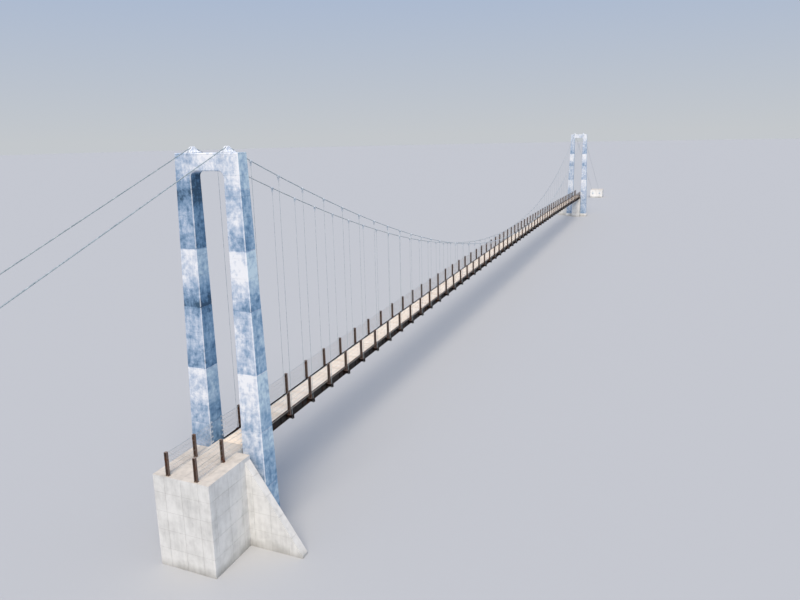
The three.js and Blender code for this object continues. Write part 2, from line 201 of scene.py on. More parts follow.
# %% The studio's lamp
LAMP_HEADING = math.radians(70)
LAMP_HEIGHT = math.radians(54)
LAMP_WIDTH = math.radians(40)
lamp_data = bpy.data.lights.new("soft_lamp", "SUN")
lamp_data.energy = 3.3
lamp_data.angle = LAMP_WIDTH
lamp_data.color = linear("#FFEFDB")[:3]
lamp = bpy.data.objects.new("soft_lamp", lamp_data)
toward_lamp = Vector((
    -math.sin(LAMP_HEADING) * math.cos(LAMP_HEIGHT),
    -math.cos(LAMP_HEADING) * math.cos(LAMP_HEIGHT),
    math.sin(LAMP_HEIGHT),
))
lamp.rotation_mode = "QUATERNION"
lamp.rotation_quaternion = toward_lamp.to_track_quat("Z", "Y")
bpy.context.scene.collection.objects.link(lamp)
print("the lamp lies toward", [round(v, 2) for v in toward_lamp])

# %% Lay the floor
FLOOR_RADIUS = 120.0
FLOOR_CORNERS = 64


def circle(radius, corners):
    """Corners of a circle, for the floor and for every round section on the bridge."""
    turns = [2 * math.pi * i / corners for i in range(corners)]
    return [(radius * math.cos(turn), radius * math.sin(turn)) for turn in turns]


floor_mesh = bpy.data.meshes.new("studio_floor")
floor_rim = [(x, y, 0.0) for x, y in circle(FLOOR_RADIUS, FLOOR_CORNERS)]
floor_mesh.from_pydata(floor_rim, [], [list(range(FLOOR_CORNERS))])
studio_floor = bpy.data.objects.new("studio_floor", floor_mesh)
bpy.context.scene.collection.objects.link(studio_floor)

floor_paint = bpy.data.materials.new("floor_paint")
floor_paint.use_nodes = True
floor_shader = floor_paint.node_tree.nodes["Principled BSDF"]
floor_shader.inputs["Base Color"].default_value = linear("#B6B9BC")
floor_shader.inputs["Roughness"].default_value = 0.9
floor_mesh.materials.append(floor_paint)
print("floor", 2 * FLOOR_RADIUS, "m across")

# %% [markdown]
# ## Finishes
#
# Every finish starts from what the real surface is and how it was made, and its patterns
# are measured in real millimetres. The pieces lie at the origin with their place in their
# mesh, so a point's own coordinates are its place on the bridge, and one pattern runs on
# unbroken from piece to piece. Painted pictures could give the same colours, but they
# blur close up, and noise that is worked out from the place never does.

# %% Start a finish, lay patterns on it and close it


def start_finish(name):
    """New finish, a short way to add its nodes, and the node that gives a point's place."""
    finish = bpy.data.materials.new(name)
    finish.use_nodes = True
    finish.node_tree.nodes.clear()
    add = partial(add_node, finish.node_tree)
    return finish, add, add("TexCoord").outputs["Object"]


def pattern_scale(real_mm):
    """Scale of a pattern whose features measure so many millimetres on the real bridge."""
    return 1.0 / (real_mm * TENTH * MM)


def patches(add, place, real_mm, stretch=(1, 1, 1), detail=4.0):
    """Soft patches of a real size in millimetres, stretched along some axes."""
    squeezed = add("Mapping", None, {"Vector": place, "Scale": [1.0 / s for s in stretch]})
    return add("TexNoise", None, {
        "Vector": squeezed, "Scale": pattern_scale(real_mm), "Detail": detail})


def mottled(add, place, tone, patterns):
    """Tone with patterns added, each by its share, and the nodes of the patterns by name."""
    nodes = {}
    for name, (real_mm, stretch, detail, share) in patterns.items():
        nodes[name] = patches(add, place, real_mm, stretch, detail)
        tone = add("Math", {"operation": "MULTIPLY_ADD"}, {0: nodes[name], 1: share, 2: tone})
    return tone, nodes


def close_finish(add, colour, roughness, height, relief_mm, metallic=0.0, gloss=0.5):
    """Shader of a finish, with its relief given in real millimetres, and its gloss."""
    relief = add("Bump", None, {"Height": height, "Distance": relief_mm * TENTH * MM})
    shader = add("BsdfPrincipled", None, {
        "Base Color": colour, "Roughness": roughness, "Metallic": metallic,
        "Specular IOR Level": gloss, "Normal": relief})
    add("OutputMaterial", None, {"Surface": shader})


print("patches of 900 real millimetres have a scale of", round(pattern_scale(900), 1))

# %% [markdown]
# ### Limewashed cast concrete, for the towers
#
# The towers were cast in seven lifts, most of them about 2.7 metres high. Every lift dried
# to its own tone, pale in its upper part and darker at its foot, where rain and lichen sit
# on the joint; the blue of the darker tones is partly painted shade in the sky's colour.
# The tones could be brushed on by hand. A ramp over the height gives them more simply, and
# patches and streaks break them up. Dark blots gather where a lift is dark already. Painted
# shade darkens the near tower's left leg and all faces that look inwards, and that leg has a
# darker band about its last joint and a painted shadow below the beam. Faces that look
# across the bridge are darkened and tinted steel blue with painted shade in the sky's colour.
# The cut corners are whitened in spots, a painted highlight that draws the bright edge lines.

# %% Tones of the tower's lifts
TOWER_TOP = 1806
LIFT_JOINTS = [265, 540, 814, 1111, 1382, 1650]
# Each row is one lift, from the ground up: its tone at the top, near the middle, at the foot.
LIFT_TONES = [
    (0.66, 0.61, 0.50),
    (0.78, 0.70, 0.54),
    (0.98, 0.88, 0.68),
    (0.68, 0.80, 0.57),
    (1.00, 0.97, 0.44),
    (0.70, 0.68, 0.58),
    (0.90, 0.87, 0.84),
]


def grey(tone):
    """Hex colour of a grey whose linear value is the tone."""
    level = tone * 12.92 if tone <= 0.0031308 else 1.055 * tone ** (1 / 2.4) - 0.055
    return "#" + 3 * f"{round(255 * level):02X}"


lift_stops = []
lift_spans = zip([0, *LIFT_JOINTS], [*LIFT_JOINTS, TOWER_TOP])
for (low, high), (top_tone, middle_tone, foot_tone) in zip(lift_spans, LIFT_TONES):
    lift_stops.append(((low + 1) / TOWER_TOP, grey(foot_tone)))
    lift_stops.append(((0.45 * low + 0.55 * high) / TOWER_TOP, grey(middle_tone)))
    lift_stops.append(((high - 1) / TOWER_TOP, grey(top_tone)))
print(len(LIFT_TONES), "lifts,", len(lift_stops), "stops in their ramp")

# %% Patches and blots on the towers
# Each pattern has a size in real millimetres, a stretch, a detail and a share of the tone.
TOWER_PATTERNS = {
    "broad": (900, (1, 1, 1), 5.0, 0.8),
    "small": (220, (1, 1, 1), 6.0, 0.9),
    "streaks": (160, (1, 1, 9), 3.0, 0.4),
    "pores": (60, (1, 1, 1), 6.0, 0.35),
    "grit": (18, (1, 1, 1), 3.0, 0.2),
}
BLOT_REAL = 380
BLOT_DAMP = 0.4
# Limits of the noise between which a blot grows from nought to its full darkness.
BLOTS = {"From Min": 0.5, "From Max": 0.68}


def blotched(add, place, tone):
    """Tone with patterns and blots, how dark each lift is, and the nodes of the patterns."""
    wash, patterns = mottled(add, place, tone, TOWER_PATTERNS)
    # A pattern is a half on average, so half of all the shares is taken off again.
    mean = sum(share for *_, share in TOWER_PATTERNS.values()) / 2
    wash = add("Math", {"operation": "SUBTRACT"}, {0: wash, 1: mean})
    blots = patches(add, place, BLOT_REAL, detail=3.0)
    blots = add("MapRange", None, {"Value": blots, **BLOTS})
    shade = add("Math", {"operation": "SUBTRACT"}, {0: 1.05, 1: tone})
    blots = add("Math", {"operation": "MULTIPLY"}, {0: blots, 1: shade})
    wash = add("Math", {"operation": "MULTIPLY_ADD"}, {0: blots, 1: -BLOT_DAMP, 2: wash})
    return wash, shade, patterns


print(len(TOWER_PATTERNS), "patterns, from", TOWER_PATTERNS["broad"][0], "to",
      TOWER_PATTERNS["grit"][0], "mm")

# %% Painted shade, painted shadow and a dark band on the towers
# Painted shade on the near tower's left leg and on inner faces, a dark band, and a painted shadow
# below the beam.
LEFT_LEG_PAINTED_SHADE = 0.1
LEFT_LEG_PAINTED_SHADE_PER_DARKNESS = 0.3
INNER_FACE_PAINTED_SHADE = 0.07
DARK_BAND_MIDDLE, DARK_BAND_TOP = 1640, 1740
DARK_BAND_DEPTH = 0.38
BEAM_PAINTED_SHADOW = 0.6
# Limits between which a mask rises from nought to one, in metres from the bridge's middle.
LEFT_SIDE = {"From Min": 0.02, "From Max": 0.06}
NEAR_HALF = {"From Min": 1.0, "From Max": -1.0}
INNER_FACES = {"From Min": -0.04, "From Max": -0.07}


def painted_shade_and_dark_band(add, axes, facing, wash, shade):
    """Tone darkened with painted shade on inner faces and on the near tower's left leg, and on that
    leg a dark band and a painted shadow below the beam.
    """
    # Painted shade: the near tower's left leg is darkened, more where its lift is dark.
    left = add("MapRange", None, {"Value": axes["Y"], **LEFT_SIDE})
    near = add("MapRange", None, {"Value": axes["X"], **NEAR_HALF})
    left = add("Math", {"operation": "MULTIPLY"}, {0: left, 1: near})
    damp = add("Math", {"operation": "MULTIPLY_ADD"}, {
        0: shade, 1: -LEFT_LEG_PAINTED_SHADE_PER_DARKNESS, 2: -LEFT_LEG_PAINTED_SHADE})
    wash = add("Math", {"operation": "MULTIPLY_ADD"}, {0: left, 1: damp, 2: wash})
    # Painted shade: faces that look inwards, between the legs, are darkened.
    inwards = add("Math", {"operation": "MULTIPLY"}, {0: facing["Y"], 1: axes["Y"]})
    inwards = add("MapRange", None, {"Value": inwards, **INNER_FACES})
    wash = add("Math", {"operation": "MULTIPLY_ADD"}, {0: inwards, 1: -INNER_FACE_PAINTED_SHADE, 2: wash})
    # A dark band about the last joint of that leg, and on its inner face a painted shadow below the
    # beam.
    off_middle = add("Math", {"operation": "SUBTRACT"}, {0: axes["Z"], 1: DARK_BAND_MIDDLE * MM})
    off_middle = add("Math", {"operation": "ABSOLUTE"}, {0: off_middle})
    band_and_shadow = add("MapRange", None, {
        "Value": off_middle, "From Max": (DARK_BAND_TOP - DARK_BAND_MIDDLE) * MM,
        "To Min": DARK_BAND_DEPTH, "To Max": 0.0})
    shadow = add("MapRange", None, {
        "Value": axes["Z"], "From Min": DARK_BAND_MIDDLE * MM, "From Max": DARK_BAND_TOP * MM,
        "To Max": BEAM_PAINTED_SHADOW})
    band_and_shadow = add("Math", {"operation": "MULTIPLY_ADD"}, {0: inwards, 1: shadow, 2: band_and_shadow})
    band_and_shadow = add("Math", {"operation": "MULTIPLY"}, {0: left, 1: band_and_shadow})
    return add("Math", {"operation": "SUBTRACT"}, {0: wash, 1: band_and_shadow})


print("the stain is darkest", DARK_BAND_MIDDLE, "mm up and ends at", DARK_BAND_TOP)

# %% Form joints, painted shade on side faces and painted highlights on corners
FORM_SHEET_REAL = 900
FORM_JOINT_REAL = 12
GRIT_IN_RELIEF = 0.4
# Painted shade in the sky's colour for the side faces, and a painted highlight for the corners.
SIDE_FACE_PAINTED_SKY_TINT = "#E0F3F9"
CORNER_PAINTED_HIGHLIGHT = "#EEF2F7"
# Limits of a face's direction across the bridge, and of a cut corner's along and across.
SIDE_FACES = {"From Min": 0.8, "From Max": 0.95}
CORNERS = {"From Min": 0.2, "From Max": 0.45}


def form_joint(add, along):
    """One where a place along an axis is on a joint between two form sheets, else nought."""
    away = add("Math", {"operation": "PINGPONG"}, {0: along, 1: FORM_SHEET_REAL * TENTH * MM / 2})
    return add("Math", {"operation": "LESS_THAN"}, {0: away, 1: FORM_JOINT_REAL * TENTH * MM / 2})


def pitted(add, grit, pores, joints):
    """Relief of cast concrete: pores and grit, with the joints sunk in."""
    relief = add("Math", {"operation": "MULTIPLY_ADD"}, {0: grit, 1: GRIT_IN_RELIEF, 2: pores})
    return add("Math", {"operation": "SUBTRACT"}, {0: relief, 1: joints})


def painted_side_shade_and_corner_highlights(add, facing, sideways, colour, spots):
    """Colour tinted steel blue with painted shade on the side faces, and whitened in spots on the
    cut corners as a painted highlight.
    """
    # Painted shade: faces that look across the bridge are tinted steel blue, the sky's colour in
    # shadow.
    side_sky_shade = add("MapRange", None, {"Value": sideways, **SIDE_FACES})
    colour = add("Mix", {"data_type": "RGBA", "blend_type": "MULTIPLY"}, {
        "Factor": side_sky_shade, "A": colour, "B": linear(SIDE_FACE_PAINTED_SKY_TINT)})
    # Painted highlight: the cut corners are whitened in spots.
    corner = add("Math", {"operation": "MULTIPLY"}, {0: facing["X"], 1: facing["Y"]})
    corner = add("Math", {"operation": "ABSOLUTE"}, {0: corner})
    corner = add("MapRange", None, {"Value": corner, **CORNERS})
    corner = add("Math", {"operation": "MULTIPLY"}, {0: corner, 1: spots})
    return add("Mix", {"data_type": "RGBA"}, {
        "Factor": corner, "A": colour, "B": linear(CORNER_PAINTED_HIGHLIGHT)})


print("a form sheet is", FORM_SHEET_REAL * TENTH, "mm wide in the model")

# %% Tower concrete
# Painted shade on the faces that look across the bridge.
SIDE_FACE_PAINTED_SHADE = 0.045
FORM_JOINT_DAMP = 0.12


def tower_concrete():
    """Finish of the towers, from the lifts' tones to the painted highlights on the corners."""
    finish, add, place = start_finish("limewashed_cast_concrete")
    axes = add("SeparateXYZ", None, {0: place}).outputs
    facing = add("SeparateXYZ", None, {0: add("NewGeometry").outputs["Normal"]}).outputs
    level = add("Math", {"operation": "DIVIDE"}, {0: axes["Z"], 1: TOWER_TOP * MM})
    tone = add("ValToRGB", {"stops": lift_stops}, {0: level})
    wash, shade, patterns = blotched(add, place, tone)
    # Painted shade on the near left leg and inner faces, with a dark band and a painted shadow
    # below the beam.
    wash = painted_shade_and_dark_band(add, axes, facing, wash, shade)
    sideways = add("Math", {"operation": "ABSOLUTE"}, {0: facing["Y"]})
    # Painted shade: faces that look across the bridge are darkened.
    wash = add("Math", {"operation": "MULTIPLY_ADD"}, {0: sideways, 1: -SIDE_FACE_PAINTED_SHADE, 2: wash})
    joint = form_joint(add, axes["Z"])
    wash = add("Math", {"operation": "MULTIPLY_ADD"}, {0: joint, 1: -FORM_JOINT_DAMP, 2: wash})
    # The ramp's tones are the concrete's own. Their blue, strongest in the dark tones, is partly
    # painted shade in the sky's colour.
    colour = add("ValToRGB", {"stops": [
        (0.0, "#34536E"), (0.25, "#6686A6"), (0.5, "#93ABC6"),
        (0.75, "#C2CEDE"), (1.0, "#E9EDF2")]}, {0: wash})
    colour = painted_side_shade_and_corner_highlights(add, facing, sideways, colour, patterns["small"])
    relief = pitted(add, patterns["grit"], patterns["pores"], joint)
    rough = add("MapRange", None, {"Value": patterns["small"], "To Min": 0.72, "To Max": 0.92})
    close_finish(add, colour, rough, relief, relief_mm=6)
    return finish


limewashed_concrete = tower_concrete()
print(limewashed_concrete.name, len(limewashed_concrete.node_tree.nodes), "nodes")

# %% [markdown]
# ### Cast concrete, for everything on the ground
#
# The abutments, wing walls, plinths and anchor blocks are plain concrete that the sun has
# bleached. Their forms were sheets 900 millimetres wide, so a grid of faint joints shows,
# each joint only on the faces that it cuts across. The joints could be cut into the
# solids, but they are only tide marks in the cement, so they are drawn. Dust has turned
# the top faces cream, and the foot is darker where the ground keeps it damp.

# %% Joints and damp of the ground concrete
GROUND_PATTERNS = {
    "broad": (1400, (1, 1, 1), 5.0, 0.5),
    "small": (260, (1, 1, 1), 6.0, 0.25),
    "streaks": (200, (1, 1, 8), 3.0, 0.25),
}
DUST_CREAM, DUST_SHARE = "#EFE2D4", 0.7
DAMP_GREY, DAMP_SHARE = "#77766F", 0.55
JOINT_GREY, JOINT_SHARE = "#8C8C86", 0.35
# Limits of a face's direction upwards, and of the heights in metres where the damp ends.
TOP_FACES = {"From Min": 0.5, "From Max": 0.9}
DAMP_FOOT = {"From Min": 0.02, "From Max": 0.07}


def dusty_and_damp(add, axes, facing, colour, patchy):
    """Colour with dust on the top faces and damp along the foot."""
    trodden = add("MapRange", None, {"Value": facing["Z"], **TOP_FACES, "To Max": DUST_SHARE})
    colour = add("Mix", {"data_type": "RGBA", "blend_type": "MULTIPLY"}, {
        "Factor": trodden, "A": colour, "B": linear(DUST_CREAM)})
    rise = add("Math", {"operation": "MULTIPLY_ADD"}, {0: patchy, 1: 0.05, 2: axes["Z"]})
    damp = add("MapRange", None, {
        "Value": rise, **DAMP_FOOT, "To Min": DAMP_SHARE, "To Max": 0.0})
    return add("Mix", {"data_type": "RGBA"}, {
        "Factor": damp, "A": colour, "B": linear(DAMP_GREY)})


def form_joints(add, axes, facing):
    """One on the joints between form sheets, along all three axes, and nought elsewhere."""
    joints = 0.0
    for axis in ("X", "Y", "Z"):
        line = form_joint(add, axes[axis])
        cut_across = add("Math", {"operation": "COMPARE"}, {0: facing[axis], 1: 0.0, 2: 0.7})
        line = add("Math", {"operation": "MULTIPLY"}, {0: line, 1: cut_across})
        joints = add("Math", {"operation": "MAXIMUM"}, {0: joints, 1: line})
    return joints


print(len(GROUND_PATTERNS), "patterns on the ground concrete, and joints along all three axes")

# %% Ground concrete


def ground_concrete():
    """Finish of all concrete on the ground, with dust, damp and the joints of its forms."""
    finish, add, place = start_finish("bleached_cast_concrete")
    axes = add("SeparateXYZ", None, {0: place}).outputs
    facing = add("SeparateXYZ", None, {0: add("NewGeometry").outputs["Normal"]}).outputs
    wash, patterns = mottled(add, place, 0.0, GROUND_PATTERNS)
    colour = add("ValToRGB", {"stops": [
        (0.25, "#A9ABAB"), (0.42, "#CDCECC"), (0.55, "#DFE0DE"), (0.75, "#ECECEA")]}, {0: wash})
    colour = dusty_and_damp(add, axes, facing, colour, patterns["broad"])
    joints = form_joints(add, axes, facing)
    faint = add("Math", {"operation": "MULTIPLY"}, {0: joints, 1: JOINT_SHARE})
    colour = add("Mix", {"data_type": "RGBA"}, {
        "Factor": faint, "A": colour, "B": linear(JOINT_GREY)})
    grit = patches(add, place, real_mm=22, detail=3.0)
    pores = patches(add, place, real_mm=70, detail=6.0)
    relief = pitted(add, grit, pores, joints)
    rough = add("MapRange", None, {"Value": patterns["small"], "To Min": 0.75, "To Max": 0.95})
    close_finish(add, colour, rough, relief, relief_mm=7)
    return finish


bleached_concrete = ground_concrete()
print(bleached_concrete.name, len(bleached_concrete.node_tree.nodes), "nodes")

# %% [markdown]
# ### Hot dip galvanised steel, for ropes, rods and castings
#
# Zinc goes dull in a few years: grey-blue, half matt, with paler bloom in patches. One
# plain metal would look new, so the bloom comes from noise and the zinc's crystals from
# cells, each with a grey of its own. Real crystals are 10 to 20 millimetres wide. They
# are drawn at 30, because smaller ones would not show. The saddles on the towers were
# given a pale coat as well, so they have a finish of their own.

# %% Galvanised steel
BLOOM_REAL = 120
CRYSTAL_REAL = 30
CRYSTAL_SHARE = 0.15


def galvanised(name, dark, light, roughness, metallic):
    """Zinc in patches of bloom between two greys, with the crystals faintly over them."""
    finish, add, place = start_finish(name)
    bloom = patches(add, place, BLOOM_REAL)
    crystals = add("TexVoronoi", None, {"Vector": place, "Scale": pattern_scale(CRYSTAL_REAL)})
    spangle = add("RGBToBW", None, {0: crystals.outputs["Color"]})
    colour = add("ValToRGB", {"stops": [(0.3, dark), (0.7, light)]}, {0: bloom})
    colour = add("Mix", {"data_type": "RGBA", "blend_type": "OVERLAY"}, {
        "Factor": CRYSTAL_SHARE, "A": colour, "B": spangle})
    rough = add("MapRange", None, {
        "Value": bloom, "To Min": roughness, "To Max": roughness + 0.25})
    close_finish(add, colour, rough, bloom, relief_mm=1, metallic=metallic)
    print(name, len(finish.node_tree.nodes), "nodes")
    return finish


galvanised_rope = galvanised(
    "galvanised_wire_rope", dark="#93A2A8", light="#CBD5D8", roughness=0.42, metallic=0.5)
galvanised_fittings = galvanised(
    "galvanised_fittings", dark="#B4C0CA", light="#E2E9EE", roughness=0.4, metallic=0.35)
pale_coated_casting = galvanised(
    "pale_coated_cast_steel", dark="#D3DCE8", light="#F2F5F9", roughness=0.6, metallic=0.0)

# %% [markdown]
# ### Old oil paint on rolled steel, nearly black on the girders and brown on the posts
#
# Rolled sections painted long ago: matt, chalked pale where they face the sky, and broken
# by rust where water stands. Wear could be painted on each piece. Here the way that a
# face looks says how far it has chalked, so one finish ages thousands of pieces, and the
# rust is a second colour where a ragged pattern runs high. On the posts the flanges that
# face across the bridge are made paler with painted light, and the hollows between them
# keep the paint's dark brown as painted shade. Chalked paint has lost half of its gloss.

# %% Painted steel
CHALKED_GLOSS = 0.25


def old_paint(name, paint, chalk, rust, rust_share, side_painted_light=0.0):
    """Old paint, chalked on top, and if wanted made paler with painted light on the faces that look
    across the bridge.
    """
    finish, add, place = start_finish(name)
    worn = patches(add, place, real_mm=350, detail=6.0)
    fine = patches(add, place, real_mm=40, detail=5.0)
    facing = add("SeparateXYZ", None, {0: add("NewGeometry").outputs["Normal"]}).outputs
    # Painted light: faces that look across the bridge are made paler by the share given for them.
    across = add("Math", {"operation": "ABSOLUTE"}, {0: facing["Y"]})
    exposed_and_lit = add("Math", {"operation": "MULTIPLY_ADD"}, {
        0: across, 1: side_painted_light, 2: facing["Z"]})
    chalked = add("Math", {"operation": "MULTIPLY_ADD"}, {0: worn, 1: 0.5, 2: exposed_and_lit})
    chalked = add("MapRange", None, {"Value": chalked, "From Min": 0.2, "From Max": 1.4})
    colour = add("Mix", {"data_type": "RGBA"}, {
        "Factor": chalked, "A": linear(paint), "B": linear(chalk)})
    bitten = add("Math", {"operation": "MULTIPLY_ADD"}, {0: fine, 1: 0.35, 2: worn})
    bitten = add("MapRange", None, {
        "Value": bitten, "From Min": 0.86 - rust_share, "From Max": 0.92 - rust_share})
    colour = add("Mix", {"data_type": "RGBA"}, {"Factor": bitten, "A": colour, "B": linear(rust)})
    rough = add("MapRange", None, {"Value": bitten, "To Min": 0.55, "To Max": 0.85})
    relief = add("Math", {"operation": "MULTIPLY_ADD"}, {0: bitten, 1: 0.5, 2: fine})
    close_finish(add, colour, rough, relief, relief_mm=2, gloss=CHALKED_GLOSS)
    print(name, len(finish.node_tree.nodes), "nodes")
    return finish


dark_paint = old_paint(
    "dark_brown_paint_on_steel", paint="#170F0B", chalk="#33261F", rust="#3A2418",
    rust_share=0.12)
# Painted light on the posts' flanges that face across the bridge, and painted shade left in the
# hollows.
brown_paint = old_paint(
    "brown_paint_with_painted_light", paint="#3B2B22", chalk="#84736A", rust="#5F3A26",
    rust_share=0.1, side_painted_light=0.6)

# %% [markdown]
# ### Sun-bleached cedar, for the planks
#
# The planks lie across the walkway. Each came from another tree, so each has a tone of its
# own. That could be a dozen finishes dealt out by hand, but the random value of a loose
# mesh part does it in one. The grain runs along the plank, across the bridge, and the
# sawn ends are darker than the faces. Real grain is about 3 millimetres wide. It is drawn
# at 14, because finer grain would not show.

# %% Cedar planks
CEDAR_PATTERNS = {
    "grain": (14, (1, 30, 1), 5.0, 0.4),
    "wavy": (90, (1, 6, 1), 3.0, 0.3),
}
PLANK_TONE_SHARE = 0.4
SAWN_END_BROWN = "#8F7460"


def cedar():
    """Finish of the planks, each with a tone and a grain of its own."""
    finish, add, place = start_finish("sun_bleached_cedar")
    shape = add("NewGeometry").outputs
    shift = add("VectorMath", {"operation": "MULTIPLY_ADD"}, {
        0: shape["Random Per Island"], 1: (3.0, 5.0, 7.0), 2: place})
    tone = add("Math", {"operation": "MULTIPLY"}, {
        0: shape["Random Per Island"], 1: PLANK_TONE_SHARE})
    tone, patterns = mottled(add, shift, tone, CEDAR_PATTERNS)
    colour = add("ValToRGB", {"stops": [
        (0.15, "#DACAB5"), (0.45, "#F1E4D3"), (0.7, "#F9F0E3"), (0.9, "#FDF8EE")]}, {0: tone})
    across = add("SeparateXYZ", None, {0: shape["Normal"]}).outputs["Y"]
    across = add("Math", {"operation": "ABSOLUTE"}, {0: across})
    sawn = add("MapRange", None, {
        "Value": across, "From Min": 0.75, "From Max": 0.85, "To Max": 0.85})
    colour = add("Mix", {"data_type": "RGBA"}, {
        "Factor": sawn, "A": colour, "B": linear(SAWN_END_BROWN)})
    rough = add("MapRange", None, {"Value": patterns["grain"], "To Min": 0.68, "To Max": 0.88})
    close_finish(add, colour, rough, patterns["grain"], relief_mm=4)
    return finish


bleached_cedar = cedar()
print(bleached_cedar.name, len(bleached_cedar.node_tree.nodes), "nodes")

# %% [markdown]
# ### Faded tarred twine, for the safety net
#
# The net on the railings is knotted from tarred twine, 4 millimetres thick, which has faded
# to tan. From a distance it is only a haze over the planks. A sheet with a printed grid
# would give that haze too, but not close up, so the twine is real and its finish is a
# plain matt one, with the fading in soft patches.

# %% Twine
TWINE_ROUGHNESS = 0.9


def twine():
    """Finish of the net, with the fading in soft patches."""
    finish, add, place = start_finish("faded_tarred_twine")
    faded = patches(add, place, real_mm=300)
    colour = add("ValToRGB", {"stops": [(0.3, "#8A6E58"), (0.7, "#B79C84")]}, {0: faded})
    close_finish(add, colour, TWINE_ROUGHNESS, faded, relief_mm=1)
    return finish


faded_twine = twine()
print(faded_twine.name, len(faded_twine.node_tree.nodes), "nodes")

# %% [markdown]
# ## How the pieces are made
#
# Nearly everything on a bridge is a bar, a plate, a rope or a turned part. Each could be
# pushed and pulled by hand from a cube, but there are thousands of them, so they are
# skinned in code: a ring is a cross section, a row of rings says where it goes, and a
# skin closes over the row. Bolts and the like are made once and stamped where they sit.

# %% Gather skins


def rectangle(x0, x1, y0, y1, cut=0.0):
    """Corners of a rectangle, its own corners cut off by cut."""
    if not cut:
        return [(x0, y0), (x1, y0), (x1, y1), (x0, y1)]
    return [(x0 + cut, y0), (x1 - cut, y0), (x1, y0 + cut), (x1, y1 - cut),
            (x1 - cut, y1), (x0 + cut, y1), (x0, y1 - cut), (x0, y0 + cut)]


class Skins:
    """Points and faces gathered in millimetres of the model, for one object."""

    def __init__(self):
        self.batches = []
        self.faces = []
        self.count = 0

    @property
    def points(self):
        return np.concatenate(self.batches)

    def take(self, points, faces):
        """Adds points, and faces that count from the first of them."""
        self.batches.append(np.asarray(points, float))
        self.faces.extend([[self.count + corner for corner in face] for face in faces])
        self.count += len(points)

    def skin(self, rings):
        """Closed skin over a row of rings with the same number of corners."""
        rings = np.asarray(rings, float)
        rows, corners = rings.shape[:2]
        index = np.arange(rows * corners).reshape(rows, corners)
        ahead = np.roll(index, -1, axis=1)
        sides = np.stack([index[:-1], ahead[:-1], ahead[1:], index[1:]], axis=-1)
        ends = [index[0, ::-1].tolist(), index[-1].tolist()]
        self.take(rings.reshape(-1, 3), ends + sides.reshape(-1, 4).tolist())


trial = Skins()
trial.skin([[(x, y, z) for x, y in rectangle(0, 1, 0, 1)] for z in (0, 1)])
print("a skin over two squares has", len(trial.faces), "faces")

# %% Blocks, sweeps and stamps
UPRIGHT = {"along": (0, 0, 1), "up": (0, 1, 0)}


class Workpiece(Skins):
    """Skins, with ways to add a block, a section drawn along a path, and a whole workpiece."""

    def block(self, low, high, edge=0.0):
        """Box between two corners, its edges cut off by edge."""
        levels = [(low[2], 0), (high[2], 0)]
        if edge:
            levels = [(low[2], edge), (low[2] + edge, 0), (high[2] - edge, 0), (high[2], edge)]
        rings = []
        for z, inwards in levels:
            ring = rectangle(low[0] + inwards, high[0] - inwards,
                             low[1] + inwards, high[1] - inwards, edge)
            rings.append([(x, y, z) for x, y in ring])
        self.skin(rings)

    def pad(self, half_x, half_y, low, high, edge):
        """Block about the z axis, between two heights."""
        self.block((-half_x, -half_y, low), (half_x, half_y, high), edge)

    def sweep(self, path, section, turns=None, up=(0, 0, 1)):
        """Section drawn along a path: its first measure lies to the left, its second upwards."""
        path = np.asarray(path, float)
        ahead = np.gradient(path, axis=0)
        ahead /= np.linalg.norm(ahead, axis=1, keepdims=True)
        left = np.cross(up, ahead)
        left /= np.linalg.norm(left, axis=1, keepdims=True)
        above = np.cross(ahead, left)
        flat = np.repeat(np.asarray(section, float)[None], len(path), axis=0)
        if turns is not None:
            c, s = np.cos(turns)[:, None], np.sin(turns)[:, None]
            flat = np.stack([flat[..., 0] * c - flat[..., 1] * s,
                             flat[..., 0] * s + flat[..., 1] * c], axis=-1)
        sideways, upwards = flat[..., :1] * left[:, None], flat[..., 1:] * above[:, None]
        self.skin(path[:, None] + sideways + upwards)

    def stamp(self, part, at=(0, 0, 0), along=(1, 0, 0), up=(0, 0, 1)):
        """Copy of another workpiece, its own x axis laid along a direction."""
        x = np.asarray(along, float) / np.linalg.norm(along)
        y = np.cross(up, x)
        y /= np.linalg.norm(y)
        turn = np.stack([x, y, np.cross(x, y)])
        self.take(part.points @ turn + np.asarray(at, float), part.faces)


trial = Workpiece()
trial.block((0, 0, 0), (9, 9, 9), 1)
print("a block with its edges cut has", len(trial.faces), "faces")


def finish_piece(name, work, material, replaces=(), smooth=False):
    """Object from a workpiece, riding on the bridge, with its finish and what it stands for."""
    mesh = bpy.data.meshes.new(name)
    mesh.from_pydata((work.points * MM).tolist(), [], work.faces)
    shell = bmesh.new()
    shell.from_mesh(mesh)
    bmesh.ops.recalc_face_normals(shell, faces=shell.faces)
    shell.to_mesh(mesh)
    shell.free()
    mesh.polygons.foreach_set("use_smooth", [smooth] * len(mesh.polygons))
    mesh.materials.append(material)
    piece = bpy.data.objects.new(name, mesh)
    bpy.context.scene.collection.objects.link(piece)
    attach(piece, "root")
    if replaces:
        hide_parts(*replaces)


print(len(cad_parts), "solids in the frame, to be finished or to be stood for")

# %% [markdown]
# ## The towers
#
# Each tower is one casting: two tapered legs, leaning out on their outer sides only, and a
# deep beam with round haunches. The solid model has legs and beam apart, so that each can
# be checked, and here one portal stands for all three. The joints could be cut with a
# knife tool, one loop at a time. Instead each leg is a tall skin whose rings are drawn in
# at the lift joints, and the head is an outline with its edges cut off, drawn through from
# front to back.

# %% Leg of a portal
LEG_FOOT = 60.3
LEG_INNER = 88
# A pair gives the measure at the leg's foot and at its top.
LEG_OUTER = (212, 168)
LEG_HALF_DEPTH = (52, 34)
LEG_EDGE = 3.5
JOINT_DEPTH = 1.6
JOINT_HALF_HEIGHT = 1.8


